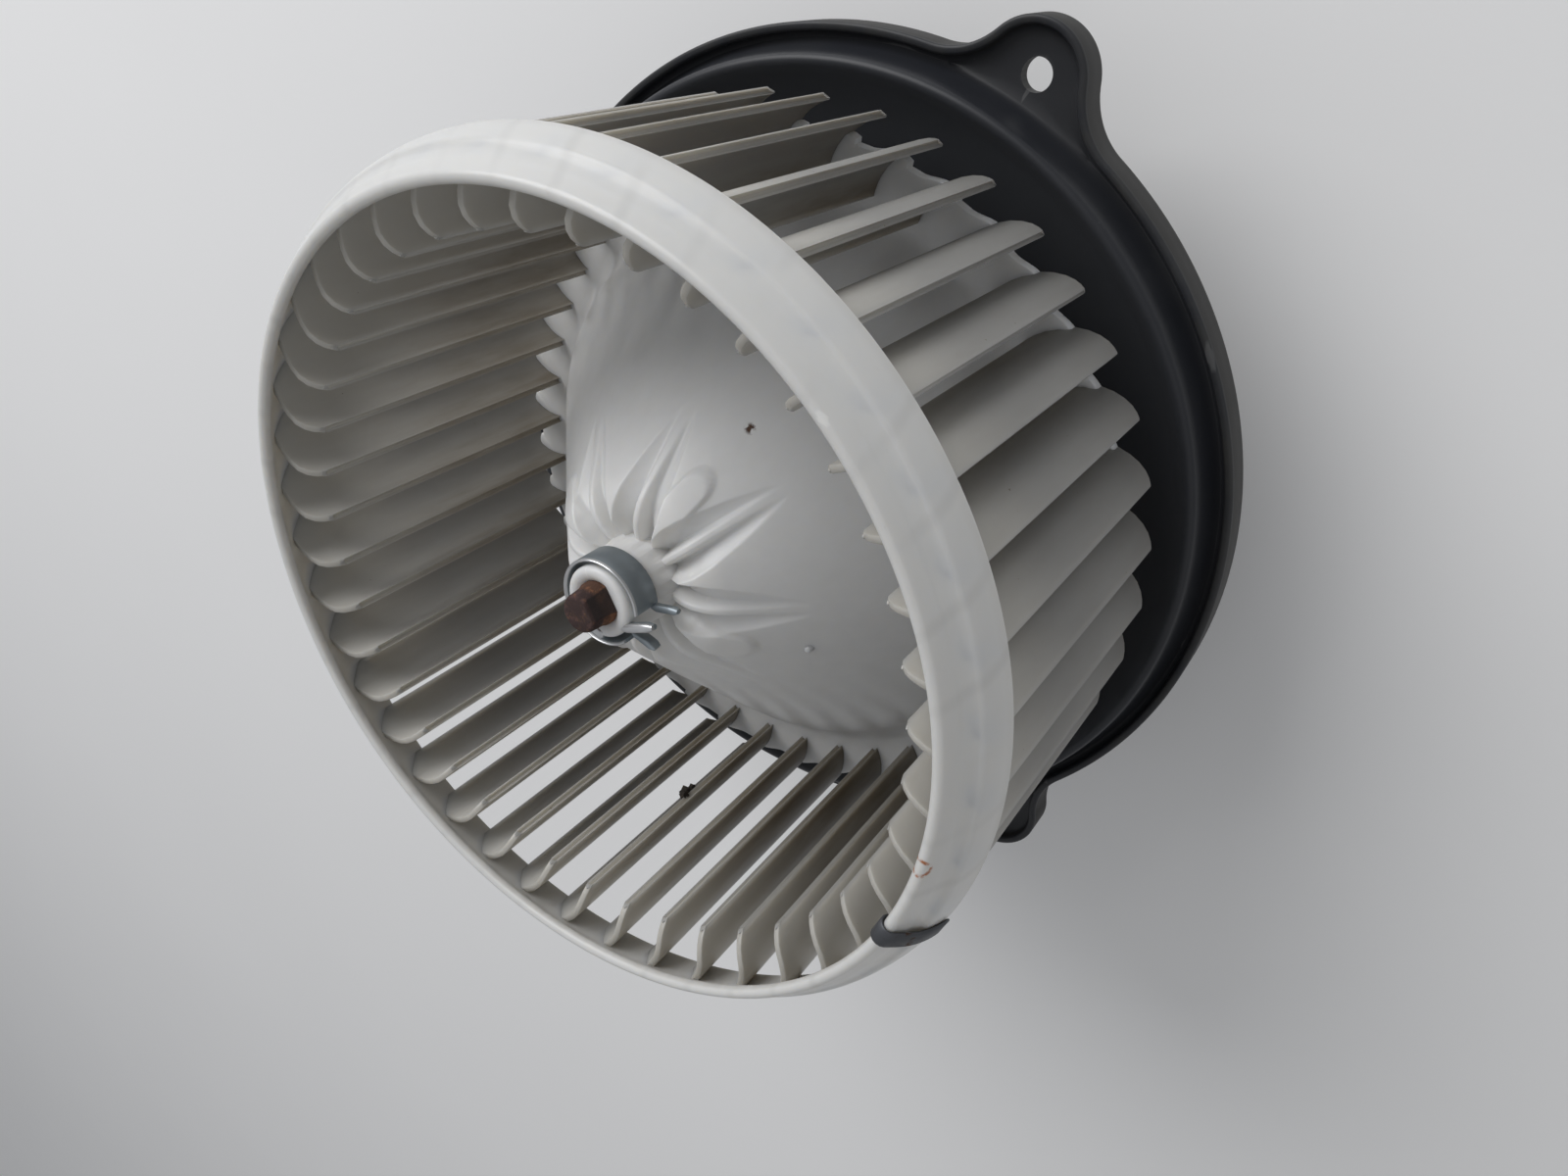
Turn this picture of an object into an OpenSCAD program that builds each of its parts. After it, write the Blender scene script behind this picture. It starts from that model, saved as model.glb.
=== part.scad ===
// Blower for a heating and ventilation case: a squirrel-cage wheel on a brushed motor,
// carried by a round mounting flange with three ears.
// Origin: centre of the ears' bolt circle, on the front face of the ears. +Z is the inlet side.

/* [Wheel] */
// Diameter over the outer edges of the blades
wheel_d = 150; // [146:0.5:151]
// Radial depth of a blade, from its inner edge to its outer edge
blade_depth = 14; // [10:0.5:15]
// Number of blades
blade_count = 41; // [30:1:48]
// Thickness of a blade
blade_t = 1.3; // [0.9:0.1:1.6]
// Angle by which a blade's outer edge trails its inner edge
blade_sweep = 6.8; // [5:0.1:8]
// Radius of a blade's curved section
blade_curve_r = 11.5; // [10.5:0.5:16]
// Angle of the first blade when the wheel is at rest
blade_phase = 3.2; // [0:0.1:8]
// Height of the blades' free lower ends above the seat
blade_low_z = 13.5; // [12:0.5:15]
// Height of the inlet lip above the seat
lip_z = 85.5; // [84:0.5:87]
// Wall thickness of the wheel's ring and hub cone
wheel_wall = 1.8; // [1.4:0.1:2.4]
// Radius of the hub disc that carries the blades
hub_disc_r = 67.5; // [64:0.5:70]
// Number of ribs round the top of the hub cone
hub_rib_count = 8; // [6:1:10]

/* [Shaft and hub clip] */
// Diameter of the motor shaft
shaft_d = 8; // [7.6:0.1:8.4]
// Size across the shaft's flat
shaft_flat = 5.4; // [5:0.1:7]
// Direction that the shaft's flat faces when the wheel is at rest
flat_angle = -36; // [-180:2:180]
// Outer radius of the wheel's boss under its spring clip
boss_r = 8; // [7.6:0.1:8.4]
// Width of the spring clip's band
clip_w = 8; // [5:0.5:8]
// Direction of the gap in the spring clip
clip_gap_angle = -90; // [-180:5:180]
// Place of the balance clip on the inlet ring
balance_angle = -88; // [-180:1:180]

/* [Flange] */
// Outer diameter of the flange's rim
flange_d = 169.2; // [168:0.2:172]
// Diameter of the circle through the ear holes
ear_pcd = 174; // [173:0.5:176]
// Diameter of an ear hole
ear_hole_d = 5.5; // [4.5:0.1:6.5]
// Thickness of the flange's plate and of its ears
plate_t = 2.5; // [2:0.1:3]
// Thickness of the flange's upright walls
rim_t = 1.6; // [1.2:0.1:2]
// Number of stiffening ribs under the flange, a multiple of three
under_rib_count = 12; // [6:6:24]

/* [Motor] */
// Outside radius of the steel motor can
can_r = 31; // [30:0.5:31.5]
// Wall thickness of the motor can
can_t = 1.8; // [1.4:0.1:2]
// Number of slots in the armature
slot_count = 12; // [10:1:14]
// Radius of the commutator
commutator_r = 11; // [10:0.5:11]
// Running clearance between the shaft and a bearing, on the radius
bearing_clearance = 0.03; // [0.01:0.01:0.09]
// Clearance between a brush and the commutator
brush_gap = 0.3; // [0.2:0.1:0.4]

/* [Cover] */
// Outside radius of the plastic motor cover
cover_r = 41.2; // [40:0.2:43]
// Depth of the cover's flat bottom below the seat
cover_low = 46; // [45:0.5:50]
// Outside diameter of the cooling air spigot
spigot_d = 16; // [14:1:18]

/* [Hidden] */
$fn = 96;

// Wheel
wheel_r = wheel_d / 2;
tip_r = wheel_r;
root_r = wheel_r - blade_depth;
blade_high_z = lip_z - 4;
ring_low_z = lip_z - 10.7;
ring_curve_r = 15.7;
ring_centre = [wheel_r + 0.9 - 15.65, ring_low_z - 1.3];
lip_in_r = 69;
lip_bevel = 0.7;
disc_high_z = blade_low_z + 2.5;
cone_foot = [54.7, disc_high_z + 5.5];
cone_slope = 0.93;
cone_head = [18.4, cone_foot[1] + (cone_foot[0] - 18.4) / cone_slope];
cone_wall = wheel_wall * 1.6;
boss_low_z = 50;
boss_high_z = 73;
clip_low_z = boss_high_z - 1.5 - clip_w;
clip_t = 0.9;
clip_lift = 0.3;
rib_reach_r = 27;
rib_phase = 20;

// Shaft
shaft_r = shaft_d / 2;
shaft_low_z = -40.5;
shaft_high_z = 77.5;
flat_low_z = 49;
flat_depth = shaft_d - shaft_flat;

// Flange
rim_r = flange_d / 2;
rim_high_z = 2.5;
rim_low_z = -4.8;
ear_low_z = rim_low_z + 0.3;
ridge_r = 79;
ridge_z = 5.8;
ridge_curve_r = 2;
collar_r = 36;
collar_t = 2.5;
collar_low_z = -8.5;
lip_hole_r = 33.2;
ear_angles = [0, 120, 240];
ear_head_x = ear_pcd / 2 - 1;
ear_head_r = 10;
ear_blend_r = 14;
screw_angles = [30, 150, 270];
screw_ring_r = 47;
screw_boss_r = 4.5;
screw_boss_low_z = -9;
screw_r = 1.7;

// Motor
can_high_z = 38;
can_low_z = -34;
can_in_r = can_r - can_t;
boss_can_r = 10.5;
boss_can_high_z = 46;
pocket_r = 8.9;
end_plate_t = 1.8;
end_boss_low_z = -43;
magnet_t = 6;
magnet_z = [-8, 30];
core_r = can_in_r - magnet_t - 0.8;
core_z = [-4, 26];
insulator_t = 0.8;
commutator_z = [-30, -14];
brush_z = -23.8;
brush_size = [8, 6.9, 6.1];
brush_face_r = commutator_r + brush_gap;
holder_x = [13, 25];
holder_play = 0.15;
holder_t = 0.5;
card_high_z = brush_z - brush_size[2] / 2 - holder_play - holder_t;
card_t = 2.5;

// Cover
cover_t = 2.2;
cover_high_z = screw_boss_low_z;
tab_t = 3;
port_z = -26;
spigot_end = -58;
spigot_seat = -43;
socket_end = 58;
socket_floor = 44;
socket_size = [17, 11];
socket_wall = 1.6;
pin_x = 3.5;
pin_size = [0.8, 4.8];
pin_y = [34, 53];
wire_r = 1;
wire_low_z = -38.5;
wire_in_y = 24;

function polar(r, a) = [r * cos(a), r * sin(a)];
// Radius of the middle of the inlet ring's wall at height z
function ring_wall_r(z) =
    ring_centre[0] + sqrt(pow(ring_curve_r - wheel_wall / 2, 2) - pow(z - ring_centre[1], 2));
function turned(v, a) = [v[0] * cos(a) - v[1] * sin(a), v[0] * sin(a) + v[1] * cos(a)];

// ---- shared shapes ----

// A tube along Z
module tube(outer, inner, low, high) {
    translate([0, 0, low]) difference() {
        cylinder(r = outer, h = high - low);
        translate([0, 0, -1]) cylinder(r = inner, h = high - low + 2);
    }
}

// A flat wedge from the axis, between two angles less than 180 degrees apart
module wedge_2d(from, to, reach) {
    middle = (from + to) / 2;
    far = reach / cos((to - from) / 2);
    polygon([[0, 0], polar(far, from), polar(reach * 1.2, middle), polar(far, to)]);
}

// A flat piece of a ring, between two angles
module arc_band_2d(outer, inner, from, to) {
    intersection() {
        difference() {
            circle(r = outer);
            circle(r = inner);
        }
        wedge_2d(from, to, outer * 1.3);
    }
}

// The shaft's round section with one flat
module shaft_section_2d(r) {
    difference() {
        circle(r = r);
        rotate(flat_angle) translate([r - flat_depth, -r]) square([r, 2 * r]);
    }
}

// ---- wheel and what turns with it ----

// One blade's section, its outer edge at angle zero: an arc of even thickness with flat edges
module blade_2d() {
    inner_edge = polar(root_r, blade_sweep);
    outer_edge = [tip_r, 0];
    chord = outer_edge - inner_edge;
    half = norm(chord) / 2;
    along = chord / norm(chord);
    across = [along[1], -along[0]];
    centre = (inner_edge + outer_edge) / 2 + across * sqrt(pow(blade_curve_r, 2) - half * half);
    half_angle = asin(half / blade_curve_r);
    back = -across * blade_curve_r * 2;
    difference() {
        intersection() {
            translate(centre) circle(r = blade_curve_r + blade_t / 2);
            polygon([centre, centre + turned(back, -half_angle), centre + turned(back, half_angle)]);
        }
        translate(centre) circle(r = blade_curve_r - blade_t / 2);
    }
}

// What the inlet ring leaves room for: the blades end inside its wall
module blade_envelope() {
    shoulder_z = ring_low_z + 2;
    rotate_extrude() polygon([
        [0, blade_low_z],
        [wheel_r + 1, blade_low_z],
        [wheel_r + 1, shoulder_z],
        [ring_wall_r(shoulder_z), shoulder_z],
        [ring_wall_r(blade_high_z), blade_high_z],
        [0, blade_high_z]
    ]);
}

module inlet_ring() {
    rotate_extrude() intersection() {
        translate(ring_centre) difference() {
            circle(r = ring_curve_r);
            circle(r = ring_curve_r - wheel_wall);
        }
        polygon([
            [lip_in_r, ring_low_z],
            [wheel_r + 10, ring_low_z],
            [wheel_r + 10, lip_z],
            [lip_in_r + lip_bevel, lip_z],
            [lip_in_r, lip_z - lip_bevel]
        ]);
    }
}

module hub_shell() {
    rotate_extrude() polygon([
        [hub_disc_r, blade_low_z],
        [hub_disc_r, disc_high_z],
        [cone_foot[0] + 6.5, disc_high_z],
        [cone_foot[0] + 3, disc_high_z + 1.7],
        cone_foot,
        cone_head,
        [14.5, cone_head[1] + 2.2],
        [boss_r + 1.6, clip_low_z - clip_lift],
        [boss_r, clip_low_z - clip_lift],
        [boss_r, boss_high_z - 1],
        [boss_r - 1, boss_high_z],
        [0, boss_high_z],
        [0, boss_low_z],
        [boss_r + 1.5, boss_low_z],
        [boss_r + 1.5, cone_head[1] - 2],
        [cone_head[0] - cone_wall, cone_head[1] - 1.5],
        [cone_foot[0] - cone_wall, cone_foot[1] - 1],
        [cone_foot[0] + 1.5, blade_low_z]
    ]);
}

// A low rib down the top of the hub cone
module hub_rib() {
    top_z = clip_low_z - clip_lift - 0.3;
    end_z = cone_foot[1] + (cone_foot[0] - rib_reach_r) / cone_slope;
    rotate([90, 0, 0]) translate([0, 0, -1]) linear_extrude(height = 2) polygon([
        [boss_r - 1, top_z],
        [13, top_z],
        [19.5, cone_head[1] + 0.6],
        [rib_reach_r, end_z],
        [rib_reach_r - 2, end_z - 1],
        [boss_r - 1, cone_head[1] - 1]
    ]);
}

module fan_wheel() {
    color("whitesmoke") difference() {
        union() {
            intersection() {
                translate([0, 0, blade_low_z]) linear_extrude(height = blade_high_z - blade_low_z)
                    for (i = [0 : blade_count - 1])
                        rotate(blade_phase + i * 360 / blade_count) blade_2d();
                blade_envelope();
            }
            inlet_ring();
            hub_shell();
            for (i = [0 : hub_rib_count - 1])
                rotate(rib_phase + i * 360 / hub_rib_count) hub_rib();
        }
        translate([0, 0, boss_low_z - 1]) linear_extrude(height = boss_high_z - boss_low_z + 2)
            shaft_section_2d(shaft_r);
    }
}

// Spring band round the boss, with two ends bent outwards to spread it
module hub_clip() {
    gap = 24;
    tang_l = 5;
    tang_w = 3.4;
    color("lightslategray") rotate(clip_gap_angle) {
        translate([0, 0, clip_low_z]) difference() {
            cylinder(r = boss_r + clip_t, h = clip_w);
            translate([0, 0, -1]) cylinder(r = boss_r, h = clip_w + 2);
            translate([0, 0, -1]) linear_extrude(height = clip_w + 2) wedge_2d(-gap, gap, 2 * boss_r);
        }
        rotate(gap + 1) translate([boss_r + clip_t / 2, 0, clip_low_z + clip_w - tang_w - 0.3])
            cube([tang_l, clip_t, tang_w]);
        rotate(-gap - 1) translate([boss_r + clip_t / 2, -clip_t, clip_low_z + 0.3])
            cube([tang_l, clip_t, tang_w]);
    }
}

// Steel clip pushed over the inlet ring to balance the wheel
module balance_clip() {
    half_angle = 2;
    grip = 0.8;
    color("dimgray") intersection() {
        rotate_extrude() intersection() {
            translate(ring_centre) difference() {
                circle(r = ring_curve_r + grip);
                circle(r = ring_curve_r);
            }
            translate([lip_in_r, lip_z - 8]) square([20, 6.8]);
        }
        linear_extrude(height = lip_z) rotate(balance_angle) wedge_2d(-half_angle, half_angle, 90);
    }
}

module motor_shaft() {
    color("sienna") {
        translate([0, 0, shaft_low_z]) cylinder(r = shaft_r, h = flat_low_z - shaft_low_z);
        translate([0, 0, flat_low_z]) linear_extrude(height = shaft_high_z - flat_low_z)
            shaft_section_2d(shaft_r);
    }
}

module slot_2d() {
    translate([core_r - 7, 0]) circle(r = 2.2, $fn = 32);
    translate([core_r - 7, -0.9]) square([9, 1.8]);
}

module core_2d() {
    difference() {
        circle(r = core_r);
        for (i = [0 : slot_count - 1]) rotate(i * 360 / slot_count) slot_2d();
        circle(r = shaft_r);
    }
}

module armature_core() {
    color("dimgray") translate([0, 0, core_z[0]]) linear_extrude(height = core_z[1] - core_z[0]) core_2d();
}

module core_insulators() {
    color("darkgreen") for (z = [core_z[0] - insulator_t, core_z[1]])
        translate([0, 0, z]) linear_extrude(height = insulator_t) core_2d();
}

// Wire in the slots and the end turns on both sides
module armature_windings() {
    turns = [6.5, core_r - 3.5];
    low = core_z[0] - insulator_t;
    high = core_z[1] + insulator_t;
    color("peru") {
        for (i = [0 : slot_count - 1]) rotate(i * 360 / slot_count)
            translate([core_r - 7, 0, low - 1]) cylinder(r = 2.1, h = high - low + 2, $fn = 32);
        for (end = [[low - 7.5, 7.5], [high, 7.2]]) rotate_extrude() translate([turns[0], end[0]]) {
            translate([1.5, 0]) square([turns[1] - turns[0] - 3, end[1]]);
            translate([0, 1.5]) square([turns[1] - turns[0], end[1] - 3]);
            for (x = [1.5, turns[1] - turns[0] - 1.5], y = [1.5, end[1] - 1.5])
                translate([x, y]) circle(r = 1.5, $fn = 24);
        }
    }
}

module commutator_hub() {
    color("saddlebrown") tube(commutator_r - 3, shaft_r, commutator_z[0] - 1, commutator_z[1]);
}

module commutator_bars() {
    gap_angle = 3;
    pitch = 360 / slot_count;
    color("darkorange") for (i = [0 : slot_count - 1]) rotate((i + 0.5) * pitch) {
        translate([0, 0, commutator_z[0]]) linear_extrude(height = commutator_z[1] - commutator_z[0])
            arc_band_2d(commutator_r, commutator_r - 3, (gap_angle - pitch) / 2, (pitch - gap_angle) / 2);
        translate([commutator_r - 0.5, -0.8, commutator_z[1] - 2]) cube([2.3, 1.6, 1.6]);
    }
}

module thrust_washers() {
    color("ivory") {
        tube(7, shaft_r, boss_can_high_z + 0.4, boss_can_high_z + 1.6);
        tube(7, shaft_r, can_low_z + 0.6, can_low_z + 1.6);
    }
}

// ---- flange and cover ----

// An ear's outline seen from the inlet side, drawn in by a wall thickness
module ear_2d(inset) {
    bite = 0.3;
    blend_reach = rim_r + ear_blend_r - bite;
    head_reach = ear_head_r + ear_blend_r - bite;
    blend_x = (blend_reach * blend_reach - head_reach * head_reach + ear_head_x * ear_head_x)
        / (2 * ear_head_x);
    blend_y = sqrt(blend_reach * blend_reach - blend_x * blend_x);
    foot = [blend_x, blend_y] * (rim_r / blend_reach);
    neck_x = ear_head_x + (blend_x - ear_head_x) * ear_head_r / head_reach;
    neck_y = blend_y * ear_head_r / head_reach;
    difference() {
        union() {
            translate([ear_head_x, 0]) circle(r = ear_head_r - inset);
            polygon([
                [ridge_r - 1, -foot[1]],
                [foot[0], -foot[1]],
                [neck_x, -neck_y],
                [neck_x, neck_y],
                [foot[0], foot[1]],
                [ridge_r - 1, foot[1]]
            ]);
        }
        for (side = [-1, 1]) translate([blend_x, side * blend_y]) circle(r = ear_blend_r + inset);
        circle(r = rim_r - rim_t / 2 - inset);
    }
}

module flange_section_2d() {
    channel_r = ridge_r + 2.6;
    channel_low_z = 0.2 - plate_t;
    polygon([
        [lip_hole_r, 1],
        [60, 1],
        [72, 3],
        [ridge_r - ridge_curve_r + 0.3, ridge_z],
        [ridge_r + ridge_curve_r - 0.3, ridge_z],
        [channel_r, 0],
        [rim_r - rim_t, 0],
        [rim_r - rim_t, rim_high_z],
        [rim_r, rim_high_z],
        [rim_r, rim_low_z],
        [rim_r - rim_t, rim_low_z],
        [rim_r - rim_t, channel_low_z],
        [ridge_r + 0.4, channel_low_z],
        [ridge_r - 0.5, 3],
        [76.6, 2.6],
        [72, 0.5],
        [60, -1.5],
        [collar_r + collar_t, -1.5],
        [collar_r + collar_t, collar_low_z],
        [collar_r, collar_low_z],
        [collar_r, -1],
        [lip_hole_r, -1]
    ]);
    translate([ridge_r, ridge_z]) circle(r = ridge_curve_r, $fn = 48);
}

module mounting_flange() {
    under_rib_h = 5;
    color("#25272a") difference() {
        union() {
            difference() {
                union() {
                    rotate_extrude() flange_section_2d();
                    for (a = ear_angles) rotate(a) translate([0, 0, ear_low_z])
                        linear_extrude(height = rim_high_z - ear_low_z) ear_2d(0);
                }
                for (a = ear_angles, z = [0, rim_low_z - 1]) rotate(a) translate([0, 0, z])
                    linear_extrude(height = z < 0 ? 1 - rim_low_z - plate_t : rim_high_z + 1)
                        ear_2d(rim_t);
            }
            for (a = screw_angles) rotate(a) translate([screw_ring_r, 0, screw_boss_low_z])
                cylinder(r = screw_boss_r, h = -screw_boss_low_z);
            for (i = [0 : under_rib_count - 1]) rotate((i + 0.5) * 360 / under_rib_count)
                translate([collar_r + 1, -rim_t / 2, -under_rib_h])
                    cube([ridge_r - collar_r - 1, rim_t, under_rib_h]);
        }
        for (a = ear_angles) rotate(a) translate([ear_pcd / 2, 0, -plate_t - 1])
            cylinder(d = ear_hole_d, h = plate_t + 2);
        for (a = screw_angles) rotate(a) translate([screw_ring_r, 0, screw_boss_low_z - 1])
            cylinder(r = screw_r, h = 7, $fn = 32);
    }
}

// Rear cup round the motor, with a cooling air spigot and a two-pin socket
module motor_cover() {
    floor_t = 2.5;
    color("#2b2b2c") difference() {
        union() {
            translate([0, 0, -cover_low]) cylinder(r = cover_r, h = cover_low + cover_high_z);
            for (a = screw_angles) rotate(a) translate([0, 0, cover_high_z - tab_t]) {
                translate([screw_ring_r, 0, 0]) cylinder(r = screw_boss_r + 1, h = tab_t);
                translate([cover_r - cover_t / 2, -screw_boss_r, 0])
                    cube([screw_ring_r - cover_r + cover_t / 2, 2 * screw_boss_r, tab_t]);
            }
            translate([spigot_end, 0, port_z]) rotate([0, 90, 0])
                cylinder(d = spigot_d, h = -spigot_end - cover_r + 4);
            translate([spigot_seat, 0, port_z]) rotate([0, 90, 0])
                cylinder(d = spigot_d + 5, h = -spigot_seat - cover_r + 4);
            translate([-socket_size[0] / 2, cover_r - 4, port_z - socket_size[1] / 2])
                cube([socket_size[0], socket_end - cover_r + 4, socket_size[1]]);
        }
        translate([0, 0, floor_t - cover_low]) cylinder(r = cover_r - cover_t, h = cover_low);
        translate([spigot_end - 1, 0, port_z]) rotate([0, 90, 0])
            cylinder(d = spigot_d - 4, h = -spigot_end - cover_r + 4);
        translate([socket_wall - socket_size[0] / 2, socket_floor, port_z + socket_wall - socket_size[1] / 2])
            cube([socket_size[0] - 2 * socket_wall, 20, socket_size[1] - 2 * socket_wall]);
        for (x = [-pin_x, pin_x]) translate([x, 0, port_z])
            translate([-pin_size[0] / 2, cover_r - 6, -pin_size[1] / 2]) cube([pin_size[0], 12, pin_size[1]]);
        for (a = screw_angles) rotate(a) translate([screw_ring_r, 0, cover_high_z - tab_t - 1])
            cylinder(r = screw_r + 0.3, h = tab_t + 2, $fn = 32);
    }
}

// Three pan-head screws that hold the cover
module cover_screws() {
    head_h = 2.6;
    color("silver") for (a = screw_angles) rotate(a) translate([screw_ring_r, 0, cover_high_z - tab_t]) {
        difference() {
            translate([0, 0, -head_h]) cylinder(r1 = 3, r2 = 3.9, h = head_h);
            for (turn = [0, 90]) rotate(turn) translate([-2.2, -0.45, -head_h - 1]) cube([4.4, 0.9, 2.4]);
        }
        cylinder(r = screw_r, h = 8.5, $fn = 32);
    }
}

module front_rubber_mount() {
    color("#1b1b1b") tube(collar_r, can_r, collar_low_z + 0.5, -1);
}

module rear_rubber_mount() {
    color("#1b1b1b") tube(22, 13, 2.5 - cover_low, can_low_z - end_plate_t);
}

// ---- motor: fixed pieces ----

// Deep-drawn steel can with a bearing pocket in its closed front end
module motor_can() {
    color("lightsteelblue") rotate_extrude() polygon([
        [can_in_r, can_low_z],
        [can_r, can_low_z],
        [can_r, can_high_z - 3],
        [can_r - 1, can_high_z - 1],
        [can_r - 3, can_high_z],
        [boss_can_r, can_high_z],
        [boss_can_r, boss_can_high_z - 1],
        [boss_can_r - 1, boss_can_high_z],
        [shaft_r + 1.2, boss_can_high_z],
        [shaft_r + 1.2, boss_can_high_z - 1.6],
        [pocket_r, boss_can_high_z - 1.6],
        [pocket_r, can_high_z - can_t],
        [can_in_r - 1.5, can_high_z - can_t],
        [can_in_r, can_high_z - can_t - 1.5]
    ]);
}

// Steel plate that closes the can's rear end and holds the rear bearing
module can_end_plate() {
    plate_low = can_low_z - end_plate_t;
    color("lightsteelblue") difference() {
        rotate_extrude() polygon([
            [pocket_r, can_low_z],
            [can_r, can_low_z],
            [can_r, plate_low],
            [boss_can_r, plate_low],
            [boss_can_r, end_boss_low_z],
            [0, end_boss_low_z],
            [0, end_boss_low_z + 1.2],
            [pocket_r, end_boss_low_z + 1.2]
        ]);
        for (x = [-pin_x, pin_x]) translate([x, wire_in_y, plate_low - 1])
            cylinder(r = wire_r + 0.8, h = end_plate_t + 2, $fn = 32);
    }
}

module field_magnets() {
    half_arc = 62;
    color("#3a3a3c") for (a = [0, 180]) rotate(a) translate([0, 0, magnet_z[0]])
        linear_extrude(height = magnet_z[1] - magnet_z[0])
            arc_band_2d(can_in_r, can_in_r - magnet_t, -half_arc, half_arc);
}

// Springs that press the two magnets apart and hold them in the can
module magnet_clips() {
    half_arc = 26;
    color("silver") for (a = [90, 270]) rotate(a) translate([0, 0, magnet_z[0] + 4])
        linear_extrude(height = magnet_z[1] - magnet_z[0] - 8) {
            arc_band_2d(can_in_r - 0.2, can_in_r - 1.2, -half_arc, half_arc);
            for (side = [-1, 1])
                arc_band_2d(can_in_r - 0.2, can_in_r - magnet_t + 0.6, side * half_arc - 1, side * half_arc + 1);
        }
}

// Self-aligning bush with a ball-shaped outside
module bush(z) {
    half_h = 2.8;
    color("goldenrod") translate([0, 0, z]) difference() {
        intersection() {
            sphere(r = pocket_r);
            translate([0, 0, -half_h]) cylinder(r = pocket_r + 1, h = 2 * half_h);
        }
        translate([0, 0, -half_h - 1]) cylinder(r = shaft_r + bearing_clearance, h = 2 * half_h + 2);
    }
}

module front_bearing() {
    bush(boss_can_high_z - 4.6);
}

module rear_bearing() {
    bush(end_boss_low_z + 4.3);
}

module bearing_retainers() {
    color("silver") {
        tube(pocket_r, shaft_r + 1.6, can_high_z - can_t, can_high_z - can_t + 0.6);
        tube(pocket_r, shaft_r + 1.6, can_low_z - 0.6, can_low_z);
    }
}

module oil_felts() {
    color("tan") {
        tube(pocket_r, shaft_r + 1.6, can_high_z - can_t + 0.6, boss_can_high_z - 7.6);
        tube(pocket_r, shaft_r + 1.6, end_boss_low_z + 7.3, can_low_z - 0.6);
    }
}

// Insulating plate that carries the brush gear
module brush_card() {
    color("#5a3a22") difference() {
        tube(can_in_r, commutator_r + 2.4, card_high_z - card_t, card_high_z);
        for (x = [-pin_x, pin_x]) translate([x, wire_in_y, card_high_z - card_t - 1])
            cylinder(r = wire_r, h = card_t + 2, $fn = 32);
    }
}

module brush_holders() {
    inner = [brush_size[1] + 2 * holder_play, brush_size[2] + 2 * holder_play];
    color("goldenrod") for (a = [0, 180]) rotate(a) translate([0, 0, brush_z]) difference() {
        translate([holder_x[0], -inner[0] / 2 - holder_t, -inner[1] / 2 - holder_t])
            cube([holder_x[1] - holder_x[0], inner[0] + 2 * holder_t, inner[1] + 2 * holder_t]);
        translate([holder_x[0] - 1, -inner[0] / 2, -inner[1] / 2])
            cube([holder_x[1] - holder_x[0] + 1 - holder_t, inner[0], inner[1]]);
    }
}

// Two interference chokes beside the brush holders
module choke_coils() {
    color("peru") for (side = [-1, 1]) translate([-8, side * 19, brush_z]) rotate([0, 90, 0]) {
        cylinder(r = 1.6, h = 16, $fn = 32);
        for (i = [0 : 7]) translate([0, 0, 1.8 + i * 1.3])
            cylinder(r = i % 2 == 0 ? 3.2 : 2.9, h = 1.3, $fn = 32);
    }
    color("peru") for (side = [-1, 1], x = [-7.5, 7]) translate([x - 0.5, side * 19 - 0.5, card_high_z])
        cube([1, 1, brush_z - card_high_z]);
}

// Two insulated leads from the socket's pins, through the end plate, to the brush card
module lead_wires() {
    color("firebrick") for (x = [-pin_x, pin_x]) translate([x, 0, 0]) {
        translate([0, pin_y[0] + 1.5, wire_low_z]) cylinder(r = wire_r, h = port_z - 2.4 - wire_low_z, $fn = 32);
        translate([0, pin_y[0] + 1.5, wire_low_z]) sphere(r = wire_r, $fn = 32);
        translate([0, wire_in_y, wire_low_z]) rotate([-90, 0, 0])
            cylinder(r = wire_r, h = pin_y[0] + 1.5 - wire_in_y, $fn = 32);
        translate([0, wire_in_y, wire_low_z]) sphere(r = wire_r, $fn = 32);
        translate([0, wire_in_y, wire_low_z]) cylinder(r = wire_r, h = card_high_z - wire_low_z, $fn = 32);
    }
}

module terminal_pins() {
    color("gainsboro") for (x = [-pin_x, pin_x])
        translate([x - pin_size[0] / 2, pin_y[0], port_z - pin_size[1] / 2])
            cube([pin_size[0], pin_y[1] - pin_y[0], pin_size[1]]);
}

// ---- brushes ----

module brush(a) {
    color("#2f2f31") rotate(a) difference() {
        translate([brush_face_r - 1, -brush_size[1] / 2, brush_z - brush_size[2] / 2])
            cube([brush_size[0] + 1, brush_size[1], brush_size[2]]);
        translate([0, 0, brush_z - 5]) cylinder(r = brush_face_r, h = 10);
    }
}

// Points round the wire of a coil spring along X, one ring after another
function coil_points(length, coil_r, spring_wire_r, turns, steps, sides) = [
    for (i = [0 : turns * steps], j = [0 : sides - 1])
        let (a = 360 * i / steps, b = 360 * j / sides, r = coil_r + spring_wire_r * cos(b))
            [length * i / (turns * steps) + spring_wire_r * sin(b), r * cos(a), r * sin(a)]
];

// Faces of a closed tube made of rings of points
function tube_faces(rings, sides) = concat(
    [[for (j = [0 : sides - 1]) j]],
    [for (i = [0 : rings - 2], j = [0 : sides - 1])
        let (k = (j + 1) % sides) [i * sides + j, (i + 1) * sides + j, (i + 1) * sides + k, i * sides + k]],
    [[for (j = [sides - 1 : -1 : 0]) (rings - 1) * sides + j]]
);

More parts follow.
